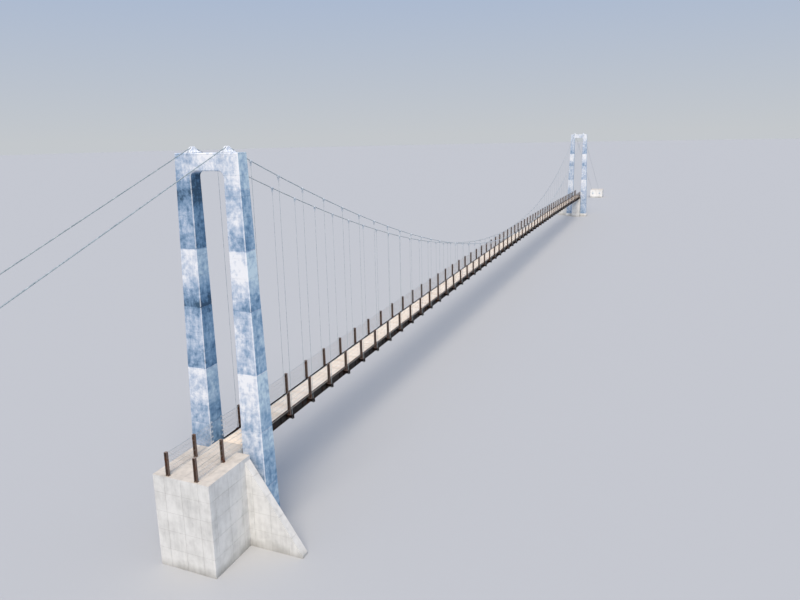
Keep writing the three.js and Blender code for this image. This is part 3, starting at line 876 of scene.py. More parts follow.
def taper(z, foot_and_top):
    """Measure of the leg at a height, between its foot and its top."""
    foot, top = foot_and_top
    return foot + (top - foot) * (z - LEG_FOOT) / (TOWER_TOP - LEG_FOOT)


def leg_ring(z, inwards):
    """Ring round the left leg at a height, drawn inwards."""
    half = taper(z, LEG_HALF_DEPTH) - inwards
    ring = rectangle(-half, half, LEG_INNER + inwards, taper(z, LEG_OUTER) - inwards, LEG_EDGE)
    return [(x, y, z) for x, y in ring]


def tower_leg():
    """Left leg up to the last lift joint, drawn in at every joint."""
    rings = [leg_ring(LEG_FOOT, 0)]
    for joint in LIFT_JOINTS:
        rings.append(leg_ring(joint - JOINT_HALF_HEIGHT, 0))
        rings.append(leg_ring(joint, JOINT_DEPTH))
        above = 0 if joint < LIFT_JOINTS[-1] else JOINT_DEPTH
        rings.append(leg_ring(joint + JOINT_HALF_HEIGHT, above))
    leg = Workpiece()
    leg.skin(rings)
    return leg


def mirrored(part):
    """The same workpiece on the other side of the bridge."""
    other = Workpiece()
    other.take(part.points * (1, -1, 1), [face[::-1] for face in part.faces])
    return other


print("a leg has", len(tower_leg().faces), "faces")

# %% Head of a portal
BEAM_BOTTOM = 1728
HAUNCH_RADIUS = 28
HAUNCH_STEPS = 12


def inset(outline, distance):
    """Outline moved inwards by a distance, its corners kept sharp."""
    points = np.asarray(outline, float)
    after = np.roll(points, -1, axis=0) - points
    after /= np.linalg.norm(after, axis=1, keepdims=True)
    inwards = np.stack([-after[:, 1], after[:, 0]], axis=1)
    before = np.roll(inwards, 1, axis=0)
    reach = 1 + (inwards * before).sum(axis=1, keepdims=True)
    return points + distance * (inwards + before) / reach


def tower_head():
    """Head of the portal: the last lift of both legs, with the beam between them."""
    foot = LIFT_JOINTS[-1]
    half = [(taper(foot, LEG_OUTER), foot), (LEG_OUTER[1], TOWER_TOP)]
    inner = [(LEG_INNER, foot)]
    for i in range(HAUNCH_STEPS + 1):
        angle = math.pi / 2 * i / HAUNCH_STEPS
        inner.append((LEG_INNER - HAUNCH_RADIUS * (1 - math.cos(angle)),
                      BEAM_BOTTOM - HAUNCH_RADIUS * (1 - math.sin(angle))))
    outline = half + [(-y, z) for y, z in half[::-1]]
    outline += [(-y, z) for y, z in inner] + inner[::-1]
    rings = []
    for side, inwards in ((-1, LEG_EDGE), (-1, 0), (1, 0), (1, LEG_EDGE)):
        ring = inset(outline, inwards)
        ring[np.asarray(outline)[:, 1] == foot, 1] = foot
        rings.append([(side * (taper(z, LEG_HALF_DEPTH) - LEG_EDGE + inwards), y, z)
                      for y, z in ring])
    head = Workpiece()
    head.skin(rings)
    return head


print("the head has", len(tower_head().faces), "faces")

# %% Stand the towers up
portal = Workpiece()
for part in (tower_leg(), mirrored(tower_leg()), tower_head()):
    portal.stamp(part)
for bank, end in BANKS.items():
    tower = Workpiece()
    tower.stamp(portal, (end * TOWER_X, 0, 0), along=(-end, 0, 0))
    finish_piece(f"{bank}_tower", tower, limewashed_concrete, replaces=(
        f"{bank}_tower_leg_left", f"{bank}_tower_leg_right", f"{bank}_tower_top_beam"))
    print(bank, "tower stands at", end * TOWER_X * MM, "m")

# %% [markdown]
# ## Concrete on the ground
#
# The solids of the abutments, wing walls, plinths and anchor blocks already have the real
# shape. They could be built again here, but nothing on them is finer than the solids, so
# they stay and only take their finish.

# %% Give the ground concrete its finish
GROUND_WORDS = ("abutment", "wing_wall", "plinth", "anchor_block")
ground_nodes = [node for name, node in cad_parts.items()
                if any(word in name for word in GROUND_WORDS)]
for node in ground_nodes:
    node.data.materials.clear()
    node.data.materials.append(bleached_concrete)
print(len(ground_nodes), "solids stay, in", bleached_concrete.name)

# %% [markdown]
# ## Saddles
#
# A saddle is a steel casting that carries the rope over the tower on a round bed. Two
# peaked cheeks keep the rope in, sloping ribs stiffen them, and a keeper is bolted over the
# rope. The ribs spread to the foot plate, so the casting tapers from every side. It could
# be carved from a block. Here its plates are cut to their outlines, which is how the
# casting's pattern would be drawn too.

# %% Bolts


def turned(profile, corners):
    """Part turned about its own x axis from pairs of place along it and radius."""
    part = Workpiece()
    part.skin([[(x, y, z) for y, z in circle(radius, corners)] for x, radius in profile])
    return part


def hexagon_bolt(across, height, washer):
    """Hexagon head or nut that sits on a washer, its axis along x."""
    bolt = turned([(0, across * 0.62), (washer, across * 0.62)], 12)
    bolt.stamp(turned([(washer, across * 0.5), (washer + height * 0.85, across * 0.5),
                       (washer + height, across * 0.42)], 6))
    return bolt


def bolt_down(work, bolt, along, across, z):
    """Bolts that stand at one height, where rows along and across the bridge meet."""
    for at in product(along, across, [z]):
        work.stamp(bolt, at, **UPRIGHT)


keeper_bolt = hexagon_bolt(across=3.0, height=2.2, washer=0.5)
foot_bolt = hexagon_bolt(across=4.2, height=2.8, washer=0.7)
print("a bolt has", len(foot_bolt.faces), "faces")

# %% Plates of a saddle
SADDLE_RADIUS = 90
SADDLE_HALF = 31
SADDLE_FOOT = TOWER_TOP + 0.3
ROPE_RADIUS = 2.3
CHEEK_RISE = 5
CHEEK_REACH = 10
CHEEK_END = 7
CHEEK_INNER, CHEEK_OUTER = 3.5, 9
BED_REACH = 28
ARCH_STEPS = 12


def arch(x, above):
    """Height of an arch over the saddle's bed."""
    return CABLE_HIGH + above + math.sqrt(SADDLE_RADIUS**2 - x**2) - SADDLE_RADIUS


def arched_outline(reach, end_x, above, end_height):
    """Outline of a plate with a flat foot and an arched top."""
    arch_x = [reach * math.cos(math.pi * i / ARCH_STEPS) for i in range(ARCH_STEPS + 1)]
    end_z = SADDLE_FOOT + end_height
    return [(-end_x, SADDLE_FOOT), (end_x, SADDLE_FOOT), (end_x, end_z),
            *[(x, arch(x, above)) for x in arch_x], (-end_x, end_z)]


def cut_plate(outline, y0, y1, edge=0.0):
    """Plate cut to an outline in x and z, between two places across the bridge."""
    rings = [(y1, 0), (y0, 0)]
    if edge:
        rings = [(y1, edge), (y1 - edge, 0), (y0 + edge, 0), (y0, edge)]
    part = Workpiece()
    part.skin([[(x, y, z) for x, z in inset(outline, inwards)] for y, inwards in rings])
    return part


print("the cheeks peak at", arch(0, CHEEK_RISE), "mm")

# %% Saddle casting
PLATE_HALF = 23
PLATE_THICK = 4
CAST_EDGE = 0.8
RIB_FOOT = 21
RIB_HALF = 2
RIB_TOPS = {-18: 13, 0: 21, 18: 13}
KEEPER_HALF = 7
KEEPER_UNDER, KEEPER_OVER = 0.9, 1.2
KEEPER_EDGE = 0.4
KEEPER_BOLTS = ((-4, 4), (-6.6, 6.6))
FOOT_BOLTS = ((-26, 26), (-18, 18))


def saddle():
    """Saddle casting at the middle of a tower's top."""
    casting = Workpiece()
    plate_top = SADDLE_FOOT + PLATE_THICK
    casting.pad(SADDLE_HALF, PLATE_HALF, SADDLE_FOOT, plate_top, CAST_EDGE)
    cheek = arched_outline(CHEEK_REACH, SADDLE_HALF - 1, CHEEK_RISE, CHEEK_END)
    for y0, y1 in ((CHEEK_INNER, CHEEK_OUTER), (-CHEEK_OUTER, -CHEEK_INNER)):
        casting.stamp(cut_plate(cheek, y0, y1, CAST_EDGE))
    bed = arched_outline(BED_REACH, SADDLE_HALF - 2, -ROPE_RADIUS, CHEEK_END - 2)
    casting.stamp(cut_plate(bed, -CHEEK_INNER - 0.5, CHEEK_INNER + 0.5))
    for x, rib_top in RIB_TOPS.items():
        rib_corners = (
            (CHEEK_OUTER - 1, 3), (RIB_FOOT, 3), (RIB_FOOT, 5), (CHEEK_OUTER - 1, rib_top))
        for side in (-1, 1):
            casting.skin([[(x + dx, side * y, SADDLE_FOOT + z) for y, z in rib_corners]
                          for dx in (-RIB_HALF, RIB_HALF)])
    top = arch(0, CHEEK_RISE)
    casting.pad(KEEPER_HALF, CHEEK_OUTER, top - KEEPER_UNDER, top + KEEPER_OVER, KEEPER_EDGE)
    bolt_down(casting, keeper_bolt, *KEEPER_BOLTS, top + KEEPER_OVER)
    bolt_down(casting, foot_bolt, *FOOT_BOLTS, plate_top)
    return casting


for (bank, end), (hand, side) in product(BANKS.items(), SIDES.items()):
    casting = Workpiece()
    casting.stamp(saddle(), (end * TOWER_X, side * CABLE_Y, 0))
    finish_piece(f"{bank}_saddle_casting_{hand}", casting, pale_coated_casting,
                 replaces=(f"{bank}_saddle_{hand}",))

# %% [markdown]
# ## Main ropes
#
# Each main rope is 45 millimetres thick, laid from six strands, and runs from its socket
# at one anchor block over both saddles to the other. A straight tube would look like a
# pipe, so a lobed section is swept along the rope's line and turned as it goes, one turn
# for every lay. A real lay is about 300 millimetres long. It is drawn at 400, because a
# shorter one would be too fine to show.

# %% Where the main ropes end
BACKSTAY_SLOPE = 0.39
ANCHOR_HEIGHT, ANCHOR_TOE = 220, 40
SOCKET_REACH = 46.6
backstay = np.array([1, BACKSTAY_SLOPE]) / math.hypot(1, BACKSTAY_SLOPE)
seat_back = BACKSTAY_SLOPE * (ANCHOR_HEIGHT - ANCHOR_TOE) / 2
seat = np.array([-seat_back, (ANCHOR_HEIGHT + ANCHOR_TOE) / 2])
rope_end = seat + backstay * SOCKET_REACH
backstay_run = (CABLE_HIGH - rope_end[1]) / BACKSTAY_SLOPE
anchor_x = TOWER_X + backstay_run + rope_end[0]
print("each backstay runs", round(backstay_run), "mm back from its tower")

# %% The line of a main rope
ROPE_INTO_SOCKET = 12
SADDLE_STEPS = 12
ROPE_LAY = 40
STEPS_A_LAY = 7


def rope_line():
    """Points in x and z of the main rope's centre, from one socket to the other."""
    first = hanger_places[0]
    main_angle = math.atan((CABLE_HIGH - cable_height(first)) / END_BAY)
    back_angle = math.atan(BACKSTAY_SLOPE)
    half = [(-(TOWER_X + backstay_run) - ROPE_INTO_SOCKET,
             rope_end[1] - ROPE_INTO_SOCKET * BACKSTAY_SLOPE)]
    for i in range(SADDLE_STEPS + 1):
        angle = back_angle - (back_angle + main_angle) * i / SADDLE_STEPS
        half.append((-TOWER_X - SADDLE_RADIUS * math.sin(angle),
                     CABLE_HIGH - SADDLE_RADIUS * (1 - math.cos(angle))))
    middle = [(x, cable_height(x)) for x in np.linspace(first, -first, 4 * HANGERS)]
    return np.array(half + middle + [(-x, z) for x, z in half[::-1]])


def evenly(line, step):
    """The same line with points about one step apart, and how far along it each one lies."""
    travelled = np.concatenate([[0], np.cumsum(np.linalg.norm(np.diff(line, axis=0), axis=1))])
    marks = np.linspace(0, travelled[-1], int(travelled[-1] / step) + 1)
    return np.stack([np.interp(marks, travelled, places) for places in line.T], axis=1), marks


flat_line, marks = evenly(rope_line(), ROPE_LAY / STEPS_A_LAY)
print("main rope", round(marks[-1] * MM, 2), "m long, with", len(marks), "rings")

# %% Lay the main ropes
STRANDS = 6
# Corners of one strand: how far along its share of the turn, and how far out in radii.
STRAND_CORNERS = [(-0.3, 1.0), (0.3, 1.0), (0.5, 0.8)]
rope_section = []
for strand, (share, out) in product(range(STRANDS), STRAND_CORNERS):
    turn = 2 * math.pi * (strand + share) / STRANDS
    rope_section.append((out * ROPE_RADIUS * math.cos(turn), out * ROPE_RADIUS * math.sin(turn)))
for hand, side in SIDES.items():
    rope = Workpiece()
    route = np.insert(flat_line, 1, side * CABLE_Y, axis=1)
    rope.sweep(route, rope_section, turns=side * 2 * math.pi * marks / ROPE_LAY)
    finish_piece(f"main_rope_{hand}", rope, galvanised_rope,
                 replaces=(f"main_cable_{hand}",), smooth=True)

# %% [markdown]
# ## Hangers
#
# At every bay a cast clamp grips the main rope, and a rod hangs from its lug to the end of
# the cross beam. The rod is threaded at its foot and held by a nut above and below the
# beam, painted along with it. Each could be an object of its own, but 342 small objects
# are hard to handle, so all the clamps on a side are one object, and so are the rods and
# the feet.

# %% Rope clamp and hanger eye
CLAMP_HALF = 9
CLAMP_RADIUS = 4.8
CLAMP_NECK_RADIUS = 3.2
BAND_HALF = 2.5
BAND_RADIUS = 5.6
LUG_DROP = 12
LUG_HALF = 2.2
FORK_HALF = 2.2
FORK_Y = 3.1
PIN_HALF, PIN_RADIUS = 4.6, 1.3


def rope_clamp():
    """Clamp round the rope, its x axis along the rope."""
    half = [(BAND_HALF, BAND_RADIUS), (BAND_HALF, CLAMP_RADIUS),
            (CLAMP_HALF - 1.5, CLAMP_RADIUS), (CLAMP_HALF, CLAMP_NECK_RADIUS)]
    clamp = turned([(-x, radius) for x, radius in half[::-1]] + half, 12)
    clamp.pad(CLAMP_HALF - 2, LUG_HALF, -LUG_DROP + 3, -CLAMP_RADIUS + 1, 0.5)
    bolt = hexagon_bolt(across=3.0, height=1.8, washer=0.5)
    for x, side in product((-5.5, 5.5), (-1, 1)):
        clamp.stamp(bolt, (x, side * LUG_HALF, -CLAMP_RADIUS - 1.6), along=(0, side, 0))
    return clamp


def hanger_eye():
    """Fork, pin and boss at the top of a rod, hung from the clamp's lug."""
    eye = Workpiece()
    for side in (-1, 1):
        eye.block((-FORK_HALF, side * FORK_Y - 0.8, -LUG_DROP - 7),
                  (FORK_HALF, side * FORK_Y + 0.8, -LUG_DROP + 4), 0.4)
    eye.pad(FORK_HALF, FORK_Y + 0.8, -LUG_DROP - 10, -LUG_DROP - 6, 0.5)
    pin = turned([(-PIN_HALF, PIN_RADIUS), (PIN_HALF, PIN_RADIUS)], 8)
    eye.stamp(pin, (0, 0, -LUG_DROP + 1), along=(0, 1, 0))
    return eye


clamp, eye = rope_clamp(), hanger_eye()
print("a clamp has", len(clamp.faces), "faces and an eye", len(eye.faces))

# %% Hang the rods
ROD_RADIUS = 0.9
THREAD_RADIUS = 1.2
THREAD_ABOVE, THREAD_BELOW = 20, 7
FOOT_PLATE_HALF = 5
FOOT_PLATE_THICK = 1.2


def hanger_rod(beam_z, rope_z):
    """Rod with its threaded foot, its axis along x."""
    return turned([
        (beam_z - CROSS_BEAM_DEPTH - THREAD_BELOW, THREAD_RADIUS),
        (beam_z + THREAD_ABOVE, THREAD_RADIUS), (beam_z + THREAD_ABOVE + 1, ROD_RADIUS),
        (rope_z - LUG_DROP - 8, ROD_RADIUS)], 8)


def rod_foot():
    """Plates and nuts above and below the cross beam's end, round the rod's thread."""
    foot = Workpiece()
    nut = hexagon_bolt(across=3.8, height=2.8, washer=0.5)
    for z, up in ((0.0, 1), (-CROSS_BEAM_DEPTH, -1)):
        low, high = sorted((z, z + up * FOOT_PLATE_THICK))
        foot.pad(FOOT_PLATE_HALF, FOOT_PLATE_HALF, low, high, 0.3)
        foot.stamp(nut, (0, 0, z + up * FOOT_PLATE_THICK), along=(0, 0, up), up=(0, 1, 0))
    return foot


foot = rod_foot()
for hand, side in SIDES.items():
    clamps, rods, feet = Workpiece(), Workpiece(), Workpiece()
    y = side * CABLE_Y
    for x in hanger_places:
        rope_z, beam_z = cable_height(x), deck_top(x) - CROSS_BEAM_DROP
        clamps.stamp(clamp, (x, y, rope_z), along=(1, 0, cable_slope(x)))
        clamps.stamp(eye, (x, y, rope_z))
        rods.stamp(hanger_rod(beam_z, rope_z), (x, y, 0), **UPRIGHT)
        feet.stamp(foot, (x, y, beam_z))
    finish_piece(f"rope_clamps_{hand}", clamps, galvanised_fittings)
    finish_piece(f"hanger_rods_{hand}", rods, galvanised_rope)
    finish_piece(f"hanger_feet_{hand}", feet, dark_paint)

# %% [markdown]
# ## Sockets at the anchor blocks
#
# Each rope ends in a cast socket, where its opened wires are set in zinc. It could be built
# up from cylinders and cones, but it is round about the rope's own line, so one profile
# turned about that line gives it. Its plate is bolted to the block's sloping face, square
# to the rope.

# %% Anchor sockets
SOCKET_PROFILE = [
    (5, 11.5), (7.5, 11.5), (8.5, 9.5), (24, 9.5), (26, 8.6), (40, 5.2), (44, 5), (46, 3.4)]
SOCKET_BAND = [(18, 10.1), (19, 10.5), (22, 10.5), (23, 10.1)]
SOCKET_PLATE_HALF = 25
SOCKET_PLATE_TOP = 6
ANCHOR_BOLT_OFF = 18


def anchor_socket():
    """Socket with its plate at the origin, and the rope along its x axis."""
    socket = Workpiece()
    socket.stamp(turned(SOCKET_PROFILE, 24))
    socket.stamp(turned(SOCKET_BAND, 24))
    plate = Workpiece()
    plate.pad(SOCKET_PLATE_HALF, SOCKET_PLATE_HALF, 0.3, SOCKET_PLATE_TOP, 1.0)
    socket.stamp(plate, along=(0, 0, -1), up=(1, 0, 0))
    anchor_bolt = hexagon_bolt(across=6.0, height=4.0, washer=0.8)
    stud = turned([(4, 1.7), (9, 1.7), (9.6, 1.3)], 8)
    for y, z in product((-ANCHOR_BOLT_OFF, ANCHOR_BOLT_OFF), repeat=2):
        socket.stamp(anchor_bolt, (SOCKET_PLATE_TOP, y, z))
        socket.stamp(stud, (SOCKET_PLATE_TOP, y, z))
    return socket


for (bank, end), (hand, side) in product(BANKS.items(), SIDES.items()):
    socket = Workpiece()
    socket.stamp(anchor_socket(), (end * (anchor_x - seat[0]), side * CABLE_Y, seat[1]),
                 along=(-end * backstay[0], 0, backstay[1]))
    finish_piece(f"{bank}_rope_socket_{hand}", socket, galvanised_fittings,
                 replaces=(f"{bank}_anchor_socket_{hand}",))
print("rope sockets at x =", round(anchor_x - seat[0]), "mm")

# %% [markdown]
# ## The floor's frame
#
# Two rolled girders run under the planks from abutment to abutment, and a cross beam passes
# through them at every bay, out to the hangers. Stiffeners stand in the girders' webs, and
# crossed rods in each bay hold the floor against the wind. A straight beam could be bent
# with a modifier, but the deck's arch is known, so the girders' section is swept along it.

# %% Sections of the floor
SECTIONS = ["near", "middle", "far"]
PER_SECTION = HANGERS // len(SECTIONS)
SECTION_JOINT = 3
DECK_END = TOWER_X - 13
ARCH_STEP = 55


def section_span(n):
    """First and last x of a floor section, and the hanger places on it."""
    places = hanger_places[n * PER_SECTION:(n + 1) * PER_SECTION]
    start = -DECK_END if n == 0 else places[0] - BAY / 2 + SECTION_JOINT / 2
    end = DECK_END if n == len(SECTIONS) - 1 else places[-1] + BAY / 2 - SECTION_JOINT / 2
    return start, end, places


def deck_line(start, end, y, drop):
    """Points along the deck's arch, a drop below its top."""
    stops = np.linspace(start, end, int((end - start) / ARCH_STEP) + 2)
    return [(x, y, deck_top(x) - drop) for x in stops]


print(len(SECTIONS), "sections of", PER_SECTION, "bays each")

# %% Girders with their stiffeners and splices
GIRDER_Y = 56
GIRDER_WIDTH = 9
GIRDER_DEPTH = 45
GIRDER_TOP_DROP = 5.3
GIRDER_MIDDLE_DROP = GIRDER_TOP_DROP + GIRDER_DEPTH / 2
GIRDER_WEB, GIRDER_FLANGE = 1.4, 2.0
STIFFENER_HALF = (0.6, 4, 21)
SPLICE_HALF = (16, 0.8, 15)
SPLICE_OFF = 1.5


def rolled_beam(depth, width, web, flange):
    """Section of a rolled beam, shaped like the letter I."""
    w, d, t = width / 2, depth / 2, web / 2
    half = [(-w, -d), (w, -d), (w, -d + flange), (t, -d + flange), (t, d - flange), (w, d - flange)]
    return half + [(-y, -z) for y, z in half]


def splice(side):
    """Plate and bolts that join two lengths of girder, outside the web."""
    joint = Workpiece()
    half_long, half_thick, half_high = SPLICE_HALF
    joint.pad(half_long, half_thick, -half_high, half_high, 0.3)
    bolt = hexagon_bolt(across=2.4, height=1.5, washer=0.4)
    for x, z in product((-12, -5, 5, 12), (-11, 0, 11)):
        joint.stamp(bolt, (x, side * half_thick, z), along=(0, side, 0))
    return joint


def add_girder(steel, side, start, end, places):
    """Girder of a floor section on one side, with its stiffeners and its splices."""
    y = side * GIRDER_Y
    steel.sweep(deck_line(start, end, y, GIRDER_MIDDLE_DROP), girder_section)
    for x in np.add.outer(places, (-BAY / 4, 0, BAY / 4)).ravel():
        middle = np.array([x, y, deck_top(x) - GIRDER_MIDDLE_DROP])
        steel.block(middle - STIFFENER_HALF, middle + STIFFENER_HALF)
    outer_splice = splice(side)
    for x in np.array(places[1::3]) + BAY / 2:
        steel.stamp(outer_splice, (x, y + side * SPLICE_OFF, deck_top(x) - GIRDER_MIDDLE_DROP))


girder_section = rolled_beam(GIRDER_DEPTH, GIRDER_WIDTH, GIRDER_WEB, GIRDER_FLANGE)
print("girders", GIRDER_DEPTH, "mm deep,", 2 * GIRDER_Y, "mm apart")

# %% Cross beams and wind bracing
CROSS_BEAM_HALF = 102
CROSS_BEAM_WIDTH = 12
CROSS_BEAM_WEB, CROSS_BEAM_FLANGE = 1.2, 1.4
END_PLATE_Y = 101
END_PLATE_HALF = (5.5, 0.8, 7.5)
BRACE_Y = 50
BRACE_DROP = 46
BRACE_RADIUS = 1.2
beam_section = rolled_beam(CROSS_BEAM_DEPTH, CROSS_BEAM_WIDTH, CROSS_BEAM_WEB, CROSS_BEAM_FLANGE)
for n, name in enumerate(SECTIONS):
    start, end, places = section_span(n)
    steel = Workpiece()
    for side in (-1, 1):
        add_girder(steel, side, start, end, places)
    for x in places:
        z = deck_top(x) - CROSS_BEAM_DROP - CROSS_BEAM_DEPTH / 2
        steel.sweep([(x, -CROSS_BEAM_HALF, z), (x, CROSS_BEAM_HALF, z)], beam_section)
        for side in (-1, 1):
            middle = np.array([x, side * END_PLATE_Y, z])
            steel.block(middle - END_PLATE_HALF, middle + END_PLATE_HALF, 0.2)
    stops = [start, *places, end]
    for (x0, x1), side in product(zip(stops, stops[1:]), (-1, 1)):
        steel.sweep([(x0, side * BRACE_Y, deck_top(x0) - BRACE_DROP),
                     (x1, -side * BRACE_Y, deck_top(x1) - BRACE_DROP - side)],
                    circle(BRACE_RADIUS, 6))
    finish_piece(f"{name}_girders", steel, dark_paint,
                 replaces=(f"{name}_floor_frame",))

# %% [markdown]
# ## The planks
#
# The floor is of cedar planks about 190 millimetres wide, laid across with gaps of 10. One
# plank repeated by an array would look like a print, because no two real ones lie quite
# alike. So each is shifted, dropped and tipped a little, from a random source with a fixed
# seed. Two bolts in each plank, over the girders, hold it down.

# %% Lay the planks
PLANK_PITCH = 20
PLANK_GAP = 1.0
PLANK_THICK = 5
PLANK_HALF = 64
PLANK_EDGE = 0.5
# Limits of how far a plank is shifted and dropped, in millimetres, and of its tipped slope.
LEAST_STRAY, MOST_STRAY = (-0.7, 0, -0.004), (0.7, 0.25, 0.004)
chance = np.random.default_rng(7)
plank_bolt = turned([(-0.6, 1.1), (0.25, 1.1), (0.55, 0.7)], 6)
for n, name in enumerate(SECTIONS):
    start, end, _ = section_span(n)
    count = round((end - start) / PLANK_PITCH)
    pitch = (end - start) / count
    half = (pitch - PLANK_GAP) / 2
    plank, floor, bolts = Workpiece(), Workpiece(), Workpiece()
    plank.pad(half, PLANK_HALF, -PLANK_THICK, 0, PLANK_EDGE)
    for i in range(count):
        x = start + (i + 0.5) * pitch
        shift, drop, tip = chance.uniform(LEAST_STRAY, MOST_STRAY)
        slope = -2 * DECK_CAMBER * x / TOWER_X**2 + tip
        top = deck_top(x) - drop
        floor.stamp(plank, (x, shift, top), along=(1, 0, slope))
        bolt_down(bolts, plank_bolt, [x], (-GIRDER_Y, GIRDER_Y), top)
    finish_piece(f"{name}_planks", floor, bleached_cedar,
                 replaces=(f"{name}_deck_boards",))
    finish_piece(f"{name}_plank_bolts", bolts, galvanised_fittings)
    print(name, count, "planks, pitch", round(pitch, 2), "mm")

# %% [markdown]
# ## Kerbs and thresholds
#
# A dark steel angle lies along both edges of the planks, bolted down in every half bay, and
# draws the thin brown line beside the floor. A painted stripe would give that line too, but
# no shadow, so the angle is swept along the deck's arch. A ribbed board, built of blocks,
# covers the gap between the planks and the landing behind each tower.

# %% Kerb angles
KERB = 7
KERB_THICK = 0.9
KERB_OUTER = 64.6
KERB_LIFT = 0.1
kerb_angle = [(0, 0), (-KERB, 0), (-KERB, KERB_THICK), (-KERB_THICK, KERB_THICK),
              (-KERB_THICK, KERB), (0, KERB)]
kerb_bolt = hexagon_bolt(across=2.2, height=1.4, washer=0.3)
for n, name in enumerate(SECTIONS):
    start, end, places = section_span(n)
    kerbs = Workpiece()
    for side in (-1, 1):
        kerb_path = deck_line(start, end, side * KERB_OUTER, -KERB_LIFT)
        kerbs.sweep(kerb_path, [(side * y, z) for y, z in kerb_angle])
        for x in np.arange(places[0] - BAY / 4, places[-1] + BAY / 2, BAY / 2):
            at = (x, side * (KERB_OUTER - KERB / 2), deck_top(x) + KERB_THICK)
            kerbs.stamp(kerb_bolt, at, **UPRIGHT)
    finish_piece(f"{name}_kerbs", kerbs, dark_paint)

# %% Threshold boards
THRESHOLD_MIDDLE = TOWER_X - 12
THRESHOLD_HALF = 20
THRESHOLD_HALF_ACROSS = 56
THRESHOLD_FOOT = DECK_LEVEL + 0.6
THRESHOLD_RIBS = 9
for bank, end in BANKS.items():
    board = Workpiece()
    start = end * THRESHOLD_MIDDLE - THRESHOLD_HALF
    stop = end * THRESHOLD_MIDDLE + THRESHOLD_HALF
    board.block((start, -THRESHOLD_HALF_ACROSS, THRESHOLD_FOOT),
                (stop, THRESHOLD_HALF_ACROSS, THRESHOLD_FOOT + 1.6), 0.4)
    reach = THRESHOLD_HALF_ACROSS - 2
    for x in np.linspace(start + 3, stop - 3, THRESHOLD_RIBS):
        board.block((x - 0.8, -reach, THRESHOLD_FOOT + 1.4),
                    (x + 0.8, reach, THRESHOLD_FOOT + 2.2), 0.2)
    finish_piece(f"{bank}_threshold_board", board, bleached_cedar)
print("threshold boards", 2 * THRESHOLD_HALF, "mm wide")

# %% [markdown]
# ## The railings
#
# Brown posts of rolled steel, 125 millimetres square, stand on the cross beams' ends, with
# their webs across the bridge, so each shows a hollow kept dark as painted shade between two
# flanges made paler with painted light. Five wire ropes run through holes in the webs from one
# tower to the other, the top one thicker, and end at eye plates on the legs. A net of thin
# twine hangs between the ropes. Ropes and net could be curves with a thickness. They are swept
# like all the rest, so that they are closed meshes, through a row of stops, and the posts are
# stamped on the stops.

# %% Post of a railing
RAIL_HEIGHT = 110
POST_SIZE = 12.5
POST_WEB, POST_FLANGE = 0.65, 0.9
POST_PLATE_THICK = 1.5
POST_PLATE_HALF = (6.4, 9.5)
POST_CAP_HALF = 6.4
POST_CAP_THICK = 0.9
ROPE_HEIGHTS = [8, 33, 58, 83, 105]
post_section = rolled_beam(POST_SIZE, POST_SIZE, POST_WEB, POST_FLANGE)
post_bolt = hexagon_bolt(across=2.4, height=1.6, washer=0.4)
rope_bush = turned([(-1.4, 1.9), (1.4, 1.9)], 8)


def post(foot):
    """Post from a foot level up, with its foot plate, its cap and bushes for the ropes."""
    part = Workpiece()
    part.sweep([(0, 0, foot), (0, 0, RAIL_HEIGHT - 0.8)], post_section, up=(0, 1, 0))
    part.pad(*POST_PLATE_HALF, foot, foot + POST_PLATE_THICK, 0.3)
    part.pad(POST_CAP_HALF, POST_CAP_HALF, RAIL_HEIGHT - POST_CAP_THICK, RAIL_HEIGHT, 0.3)
    bolt_down(part, post_bolt, (-4, 4), (-8, 8), foot + POST_PLATE_THICK)
    for height in ROPE_HEIGHTS:
        part.stamp(rope_bush, (0, 0, height))
    return part


deck_post, landing_post = post(-CROSS_BEAM_DROP + 0.3), post(0.3)
print("a post has", len(deck_post.faces), "faces")

# %% Ropes of a railing
RAIL_ROPE_RADIUS = 0.6
TOP_ROPE_RADIUS = 0.9
ROPE_SAG = 1.2


def rope_point(stops, share, level, height):
    """Point of a rope between two stops, sagging a little between them."""
    (x0, y0), (x1, y1) = stops
    x = x0 + share * (x1 - x0)
    return x, y0 + share * (y1 - y0), level(x) + height - ROPE_SAG * 4 * share * (1 - share)


def rail_ropes(stops, level):
    """Wire ropes from stop to stop."""
    ropes = Workpiece()
    bays = list(zip(stops, stops[1:]))
    for height in ROPE_HEIGHTS:
        line = [rope_point(bay, share, level, height)
                for bay, share in product(bays, (0, 0.25, 0.5, 0.75))]
        line.append(rope_point(bays[-1], 1, level, height))
        radius = TOP_ROPE_RADIUS if height == ROPE_HEIGHTS[-1] else RAIL_ROPE_RADIUS
        ropes.sweep(line, circle(radius, 6))
    return ropes


print(len(ROPE_HEIGHTS), "ropes, the highest", ROPE_HEIGHTS[-1], "mm above the planks")

# %% Net of a railing
MESH_REAL = 150
TWINE_RADIUS = 0.2
SHORTEST_TWINE = 2


def rail_net(stops, level):
    """Diamond net between the lowest and the highest rope, bay by bay."""
    net = Workpiece()
    low, rise = ROPE_HEIGHTS[0], ROPE_HEIGHTS[-1] - ROPE_HEIGHTS[0]
    mesh = MESH_REAL * TENTH
    for bay in zip(stops, stops[1:]):
        x0, x1 = bay[0][0], bay[1][0]
        for first in np.arange(x0 - rise + mesh / 2, x1, mesh):
            ends = np.clip([first, first + rise], x0, x1)
            if ends[1] - ends[0] < SHORTEST_TWINE:
                continue
            for slant in (1, -1):
                heights = low + rise * (1 - slant) / 2 + slant * (ends - first)
                line = [rope_point(bay, (x - x0) / (x1 - x0), level, z)
                        for x, z in zip(ends, heights)]
                net.sweep(line, circle(TWINE_RADIUS, 3))
    return net


print("net of meshes", MESH_REAL, "mm wide on the real bridge")

